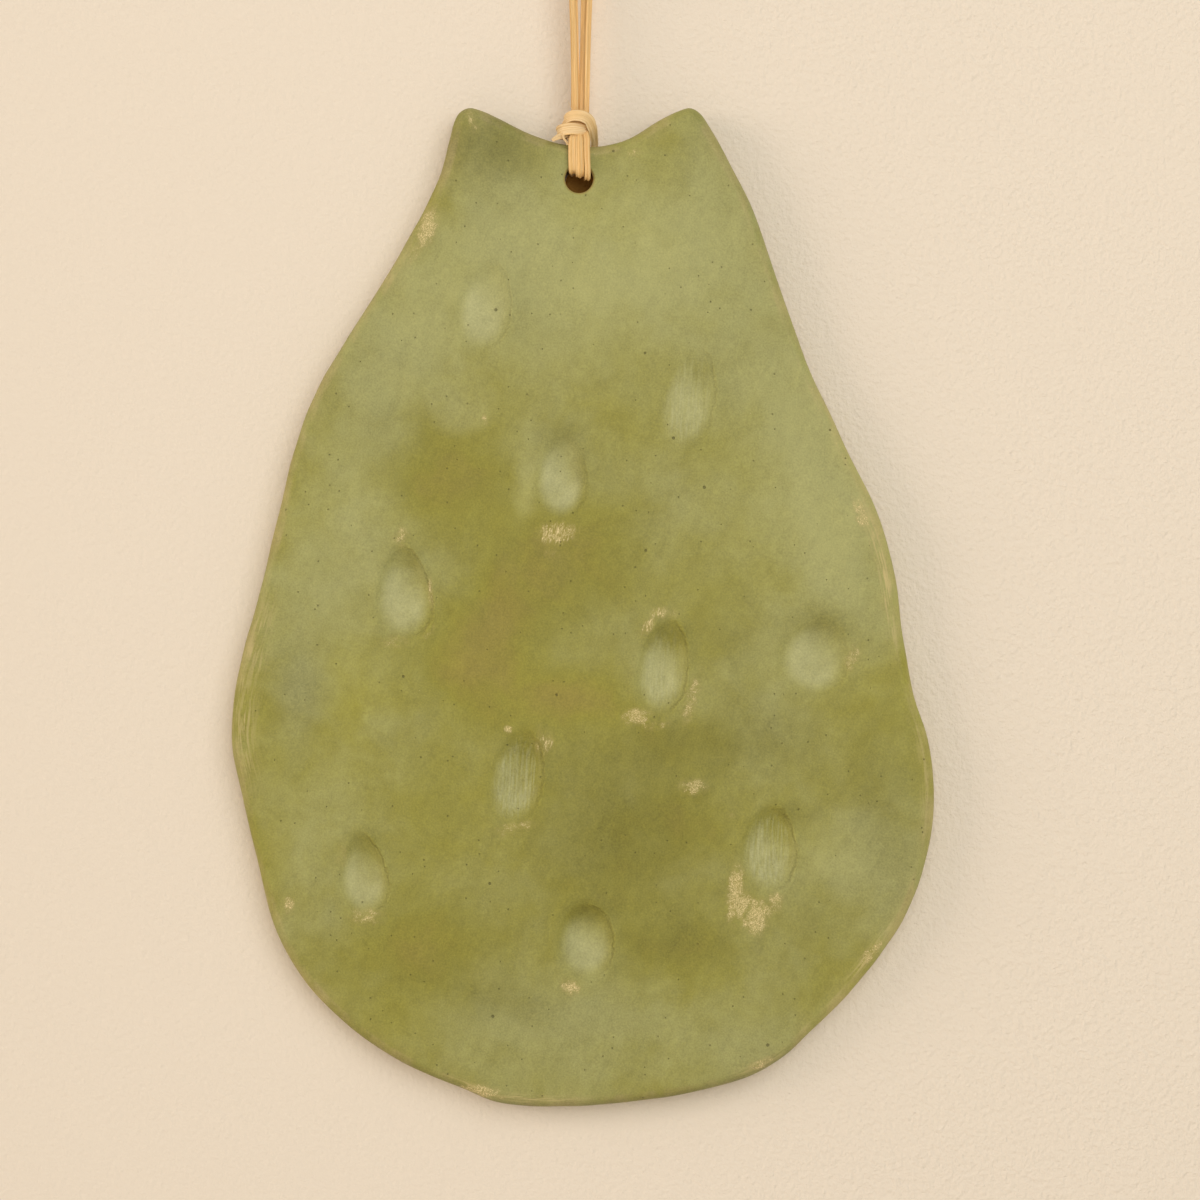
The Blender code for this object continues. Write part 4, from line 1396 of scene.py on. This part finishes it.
@dataclass
class RaffiaKnot:
    """The wraps and loose ends of the knot, which sits on the rim between the ears."""

    centre: Point3 = (-0.3, -4.7, -53.0)
    wrap: tuple[Point3, ...] = (
        (3.2, 0.9, -58.6), (3.25, 0.6, -57.0), (3.25, -1.4, -55.4), (3.1, -4.4, -54.2),
        (2.75, -7.0, -52.9), (1.9, -8.5, -51.4), (0.5, -9.1, -50.7), (-1.4, -8.7, -50.5),
        (-3.0, -7.4, -50.9),
        (-3.6, -5.2, -51.5), (-2.9, -2.6, -52.2), (-0.8, -1.4, -52.8), (1.2, -1.8, -53.2),
        (2.1, -3.7, -53.5), (1.9, -6.3, -53.6), (0.6, -7.9, -53.5), (-1.6, -8.4, -53.3),
        (-3.8, -7.8, -53.5), (-4.9, -5.8, -53.8), (-4.4, -3.8, -54.2), (-2.9, -3.2, -54.8),
    )
    tail: tuple[Point3, ...] = (
        (-2.2, -6.6, -53.9), (-3.4, -7.2, -54.5), (-4.6, -7.7, -55.0), (-5.5, -8.0, -55.5),
        (-6.1, -8.1, -55.9),
    )
    curl: tuple[Point3, ...] = (
        (-3.0, -7.6, -54.0), (-3.6, -8.1, -54.8), (-3.5, -8.5, -55.6), (-3.0, -8.5, -56.2),
        (-2.7, -8.2, -56.9),
    )
    hair: tuple[Point3, ...] = (
        (-1.4, -6.4, -49.4), (-1.8, -6.6, -48.7), (-2.2, -6.8, -48.0), (-2.55, -6.9, -47.2),
    )
    core: tuple[Point3, ...] = (
        (-1.6, -2.6, -51.4), (-2.6, -4.4, -51.6), (-2.2, -6.6, -51.9), (-0.3, -7.4, -52.1),
        (1.7, -6.7, -52.2),
        (2.4, -4.6, -52.5), (1.6, -2.7, -53.0), (-0.4, -2.1, -53.5), (-2.3, -2.9, -54.0),
        (-3.0, -4.7, -54.2),
        (-2.4, -6.5, -54.1), (-0.3, -7.3, -54.0), (1.8, -6.6, -54.0), (2.6, -4.6, -54.3),
    )

    def outwards(self, points: np.ndarray, along: np.ndarray) -> np.ndarray:
        """Return the direction out of the knot at each point, turned to the front where it is seen."""
        out = points - np.array(self.centre)
        front = np.maximum(ease(-points[:, 1], 4.6, 7.4), 1.6 * ease(points[:, 0], 2.4, 3.1))[:, None]
        return out + front * np.array((0.0, -3.5, 0.0))

    def build(self, sweep: RibbonSweep, fibre: bpy.types.Material) -> list[bpy.types.Object]:
        """Make the knot's ribbons, which together stand for its CAD solid.

        Args:
            sweep: The ribbon maker.
            fibre: The material of the leaf's paler side, which the knot shows.

        Returns:
            The pieces.
        """
        ribbons = {
            "raffia_knot_wrap": Ribbon(
                self.wrap, self.outwards, 2.7, 0.24, 0.15, 6.5, 0.2, 3.3,
                (0.7, 0.85, 1.0, 1.05, 1.0, 0.9, 0.8, 0.85, 1.0, 0.95, 0.7), 0.22,
            ),
            "raffia_knot_core": Ribbon(
                self.core, self.outwards, 2.3, 0.3, 0.12, 5.0, 0.2, 8.8, (0.8, 1.0, 1.0, 1.0, 0.8), 0.25,
            ),
            "raffia_knot_tail": Ribbon(
                self.tail, self.outwards, 1.5, 0.18, 0.1, 3.0, 0.1, 5.1, (1.0, 1.0, 0.5), 0.2,
            ),
            "raffia_knot_curl": Ribbon(
                self.curl, self.outwards, 0.55, 0.12, 0.03, 2.0, 0.03, 6.4, (1.0, 0.8), 0.15,
            ),
            "raffia_hair": Ribbon(
                self.hair, self.outwards, 0.16, 0.1, 0.0, 1.0, 0.01, 7.2, (1.0, 0.4), 0.2,
            ),
        }
        pieces = []
        for name, ribbon in ribbons.items():
            piece = sweep.sweep(name, ribbon, fibre)
            attach(piece, "raffia", *(("raffia_knot",) if name == "raffia_knot_wrap" else ()))
            pieces.append(piece)
        return pieces


def up_the_back(x: float) -> tuple[Point3, ...]:
    """Return an outer strand's way out of the hole and up the plaque's back, x to the right."""
    section = (
        (-0.9, -62.5), (0.05, -62.4), (0.68, -62.0), (0.93, -61.3), (0.93, -59.2), (0.85, -57.3), (0.4, -56.0)
    )
    return tuple((x, y, z) for y, z in section)


def over_hook(depth: float, across: Sequence[float], end: float = -48.6) -> tuple[Point3, ...]:
    """Return a strand's way from the knot over the hook and back.

    Args:
        depth: Its place from front to back.
        across: How far to the right it is at each height, up the left side and down the right.
        end: Height of its last point.
    """
    up = (-48.6, -42.0, -33.0, -24.0, -14.0, -6.5, -2.6, -0.25)
    heights = (*up, 0.55, *up[:0:-1], end)
    return tuple((x, depth, z) for x, z in zip(across, heights, strict=True))


@dataclass
class RaffiaHanger:
    """The three strands and the knot that ties them."""

    strands: tuple[RaffiaStrand, ...] = (
        RaffiaStrand(
            "left",
            (
                (-1.7, -8.45, -55.6), (-1.75, -8.5, -57.4), (-1.75, -8.45, -59.4), (-1.7, -8.45, -61.35),
                (-1.65, -8.0, -62.5), (-1.6, -6.7, -62.9), (-1.6, -3.75, -62.7), *up_the_back(-1.6),
            ),
            over_hook(
                -5.9,
                (-1.05, -1.15, -1.3, -1.6, -2.05, -2.55, -2.75, -1.95, 0.0,
                 1.95, 2.75, 2.6, 2.35, 2.1, 1.8, 1.6, 1.45),
                end=-48.7,
            ),
            width=1.7,
            spans=(0.95, 0.95, 0.8, 0.85, 0.93, 0.93, 0.75, 0.7, 0.7),
            lane=0.0,
        ),
        RaffiaStrand(
            "middle",
            (
                (-0.1, -8.5, -55.6), (-0.1, -8.55, -57.4), (-0.05, -8.55, -59.4), (0.0, -8.5, -61.6),
                (0.0, -8.2, -62.9), (0.0, -7.2, -63.6), (-0.05, -5.2, -63.5), (-0.15, -2.6, -62.8),
                (-0.2, -0.9, -62.2), (-0.2, 0.05, -62.05), (-0.2, 0.68, -61.65), (-0.2, 0.93, -60.95),
                (-0.2, 0.93, -59.0), (-0.2, 0.85, -57.3), (-0.2, 0.4, -56.0),
            ),
            over_hook(
                -4.5,
                (-0.8, -0.85, -1.0, -1.3, -1.85, -2.5, -2.75, -1.95, 0.0,
                 1.95, 2.7, 2.3, 1.5, 1.0, 0.8, 0.7, 0.65),
            ),
            width=1.85,
            spans=(1.0, 0.98, 0.85, 0.8, 0.9, 0.9, 0.85, 0.85, 0.85),
            lane=1.7,
        ),
        RaffiaStrand(
            "right",
            (
                (1.55, -8.45, -55.6), (1.55, -8.5, -57.4), (1.6, -8.5, -59.4), (1.7, -8.5, -61.8),
                (1.7, -8.3, -63.3), (1.65, -7.4, -64.2), (1.5, -5.4, -64.1), (1.3, -2.6, -63.2),
                *up_the_back(1.2),
            ),
            over_hook(
                -3.1,
                (-1.4, -1.35, -1.5, -1.75, -2.15, -2.6, -2.75, -1.95, 0.0,
                 1.95, 2.75, 2.5, 1.95, 1.4, 1.15, 0.95, 0.9),
            ),
            width=1.35,
            spans=(1.0, 0.95, 0.9, 0.9, 1.05, 1.05, 0.95, 0.9, 0.9),
            lane=3.4,
        ),
    )
    length: float = 0.137

    def build(self) -> None:
        sweep = RibbonSweep()
        fibre = RaffiaFibre().material()
        pale = RaffiaFibre("raffia_pale", (0.86, 0.62, 0.31), (0.93, 0.76, 0.48), (0.64, 0.38, 0.11))
        knot = RaffiaKnot().build(sweep, pale.material())
        for strand in self.strands:
            piece = strand.build(sweep, fibre)
            strand.declare(piece, self.length, knot if strand.side == "middle" else [])
            LOG.info("%s is %.1f mm long", piece.name, strand.ribbon().length() / MM)


# ------------------------------------------------------------------ stage


@dataclass(frozen=True)
class Lamp:
    """A soft square light that looks at the plaque.

    Attributes:
        name: The light's name.
        where: Its place, in metres.
        size: Its side, in metres.
        watts: Its power.
        colour: Its tint.
    """

    name: str
    where: Point3
    size: float
    watts: float
    colour: Colour


@dataclass
class Studio:
    """The wall behind, the floor below, the lights and the camera.

    Attributes:
        aim: The point that the middle of the view shows, in millimetres.
        wall_gap: How far the wall is behind the plaque's back at the hook, in millimetres.
        wall_touch: Where the wall nearly meets the plaque's lower end, which leans on it.
        distance: From the camera to the plaque's face, in metres.
        seen: The height of what the view shows there, in millimetres.
        floor_drop: How far the floor is below the origin, in metres.
        reach: How far the wall and the floor stretch each way, in metres.
        wall, floor: Their paints.
        lamps: The lights.
        sky, sky_strength: Colour and strength of the light from all round.
    """

    aim: Point3 = (4.4, -4.0, -156.5)
    distance: float = 0.6
    seen: float = 264.5
    wall_gap: float = 1.8
    wall_touch: Point3 = (0.0, 0.2, -266.0)
    floor_drop: float = 0.9
    wall: PlainPaint = PlainPaint(
        "wall_paint", (0.80, 0.735, 0.635), 0.30, one_sided=True, painted_hole_shade=(0.50, 0.25, 0.05)
    )
    floor: PlainPaint = PlainPaint("floor_paint", (0.76, 0.71, 0.64))
    reach: float = 3.0
    lamps: tuple[Lamp, ...] = (
        Lamp("key", (0.35, -1.08, 0.27), 1.15, 8.7, (0.98, 0.95, 0.90)),
        Lamp("side", (-2.2, -1.0, 0.3), 1.2, 21.5, (1.0, 0.80, 0.68)),
        Lamp("back_fill", (0.3, 1.6, 0.3), 0.8, 3.0, (1.0, 0.96, 0.92)),
    )
    sky: Colour = (1.0, 0.92, 0.80)
    sky_strength: float = 0.465

    def place_camera(self) -> None:
        """Stand the camera square to the wall."""
        data = bpy.data.cameras.new("camera")
        data.sensor_width = 36.0
        data.lens = data.sensor_width * self.distance / (self.seen * MM)
        data.clip_start = 0.01
        camera = bpy.data.objects.new("camera", data)
        camera.location = Vector(self.aim) * MM + Vector((0.0, -self.distance, 0.0))
        camera.rotation_euler = (math.pi / 2, 0.0, 0.0)
        bpy.context.scene.collection.objects.link(camera)
        bpy.context.scene.camera = camera

    def sheet(self, name: str, corners: Sequence[Point3], paint: PlainPaint) -> bpy.types.Object:
        """Make one flat piece of the stage."""
        mesh = bpy.data.meshes.new(name)
        mesh.from_pydata([Vector(c) for c in corners], [], [(0, 1, 2, 3)])
        mesh.materials.append(paint.material())
        obj = add_piece(name, mesh)
        return obj

    def light(self, lamp: Lamp) -> None:
        """Hang one light so that it looks at the middle of the view."""
        data = bpy.data.lights.new(lamp.name, "AREA")
        data.size = lamp.size
        data.energy = lamp.watts
        data.color = lamp.colour
        made = bpy.data.objects.new(lamp.name, data)
        made.location = lamp.where
        towards = Vector(self.aim) * MM - Vector(lamp.where)
        made.rotation_euler = towards.to_track_quat("-Z", "Y").to_euler()
        bpy.context.scene.collection.objects.link(made)

    def build(self) -> None:
        """Set the stage up."""
        low, wide = -self.floor_drop, self.reach
        lean = (self.wall_gap - self.wall_touch[1]) / -self.wall_touch[2]
        foot, top = self.wall_gap * MM + lean * low, self.wall_gap * MM + lean * wide
        upright = [(-wide, foot, low), (wide, foot, low), (wide, top, wide), (-wide, top, wide)]
        level = [(-wide, -wide, low), (wide, -wide, low), (wide, wide, low), (-wide, wide, low)]
        self.sheet("stage_wall", upright, self.wall).visible_shadow = False
        self.sheet("stage_floor", level, self.floor)
        for lamp in self.lamps:
            self.light(lamp)
        world = bpy.data.worlds.new("studio")
        world.use_nodes = True
        background = world.node_tree.nodes["Background"]
        background.inputs["Color"].default_value = (*self.sky, 1.0)
        background.inputs["Strength"].default_value = self.sky_strength
        bpy.context.scene.world = world
        bpy.context.scene.view_settings.view_transform = "Standard"


def main() -> None:
    """Build the scene: camera first, then the raffia, the plaque and the stage."""
    logging.basicConfig(level=logging.INFO, format="%(name)s %(message)s")
    studio = Studio()
    studio.place_camera()
    RaffiaHanger().build()
    ClayPlaque().build()
    studio.build()


if __name__ == "__main__":
    main()
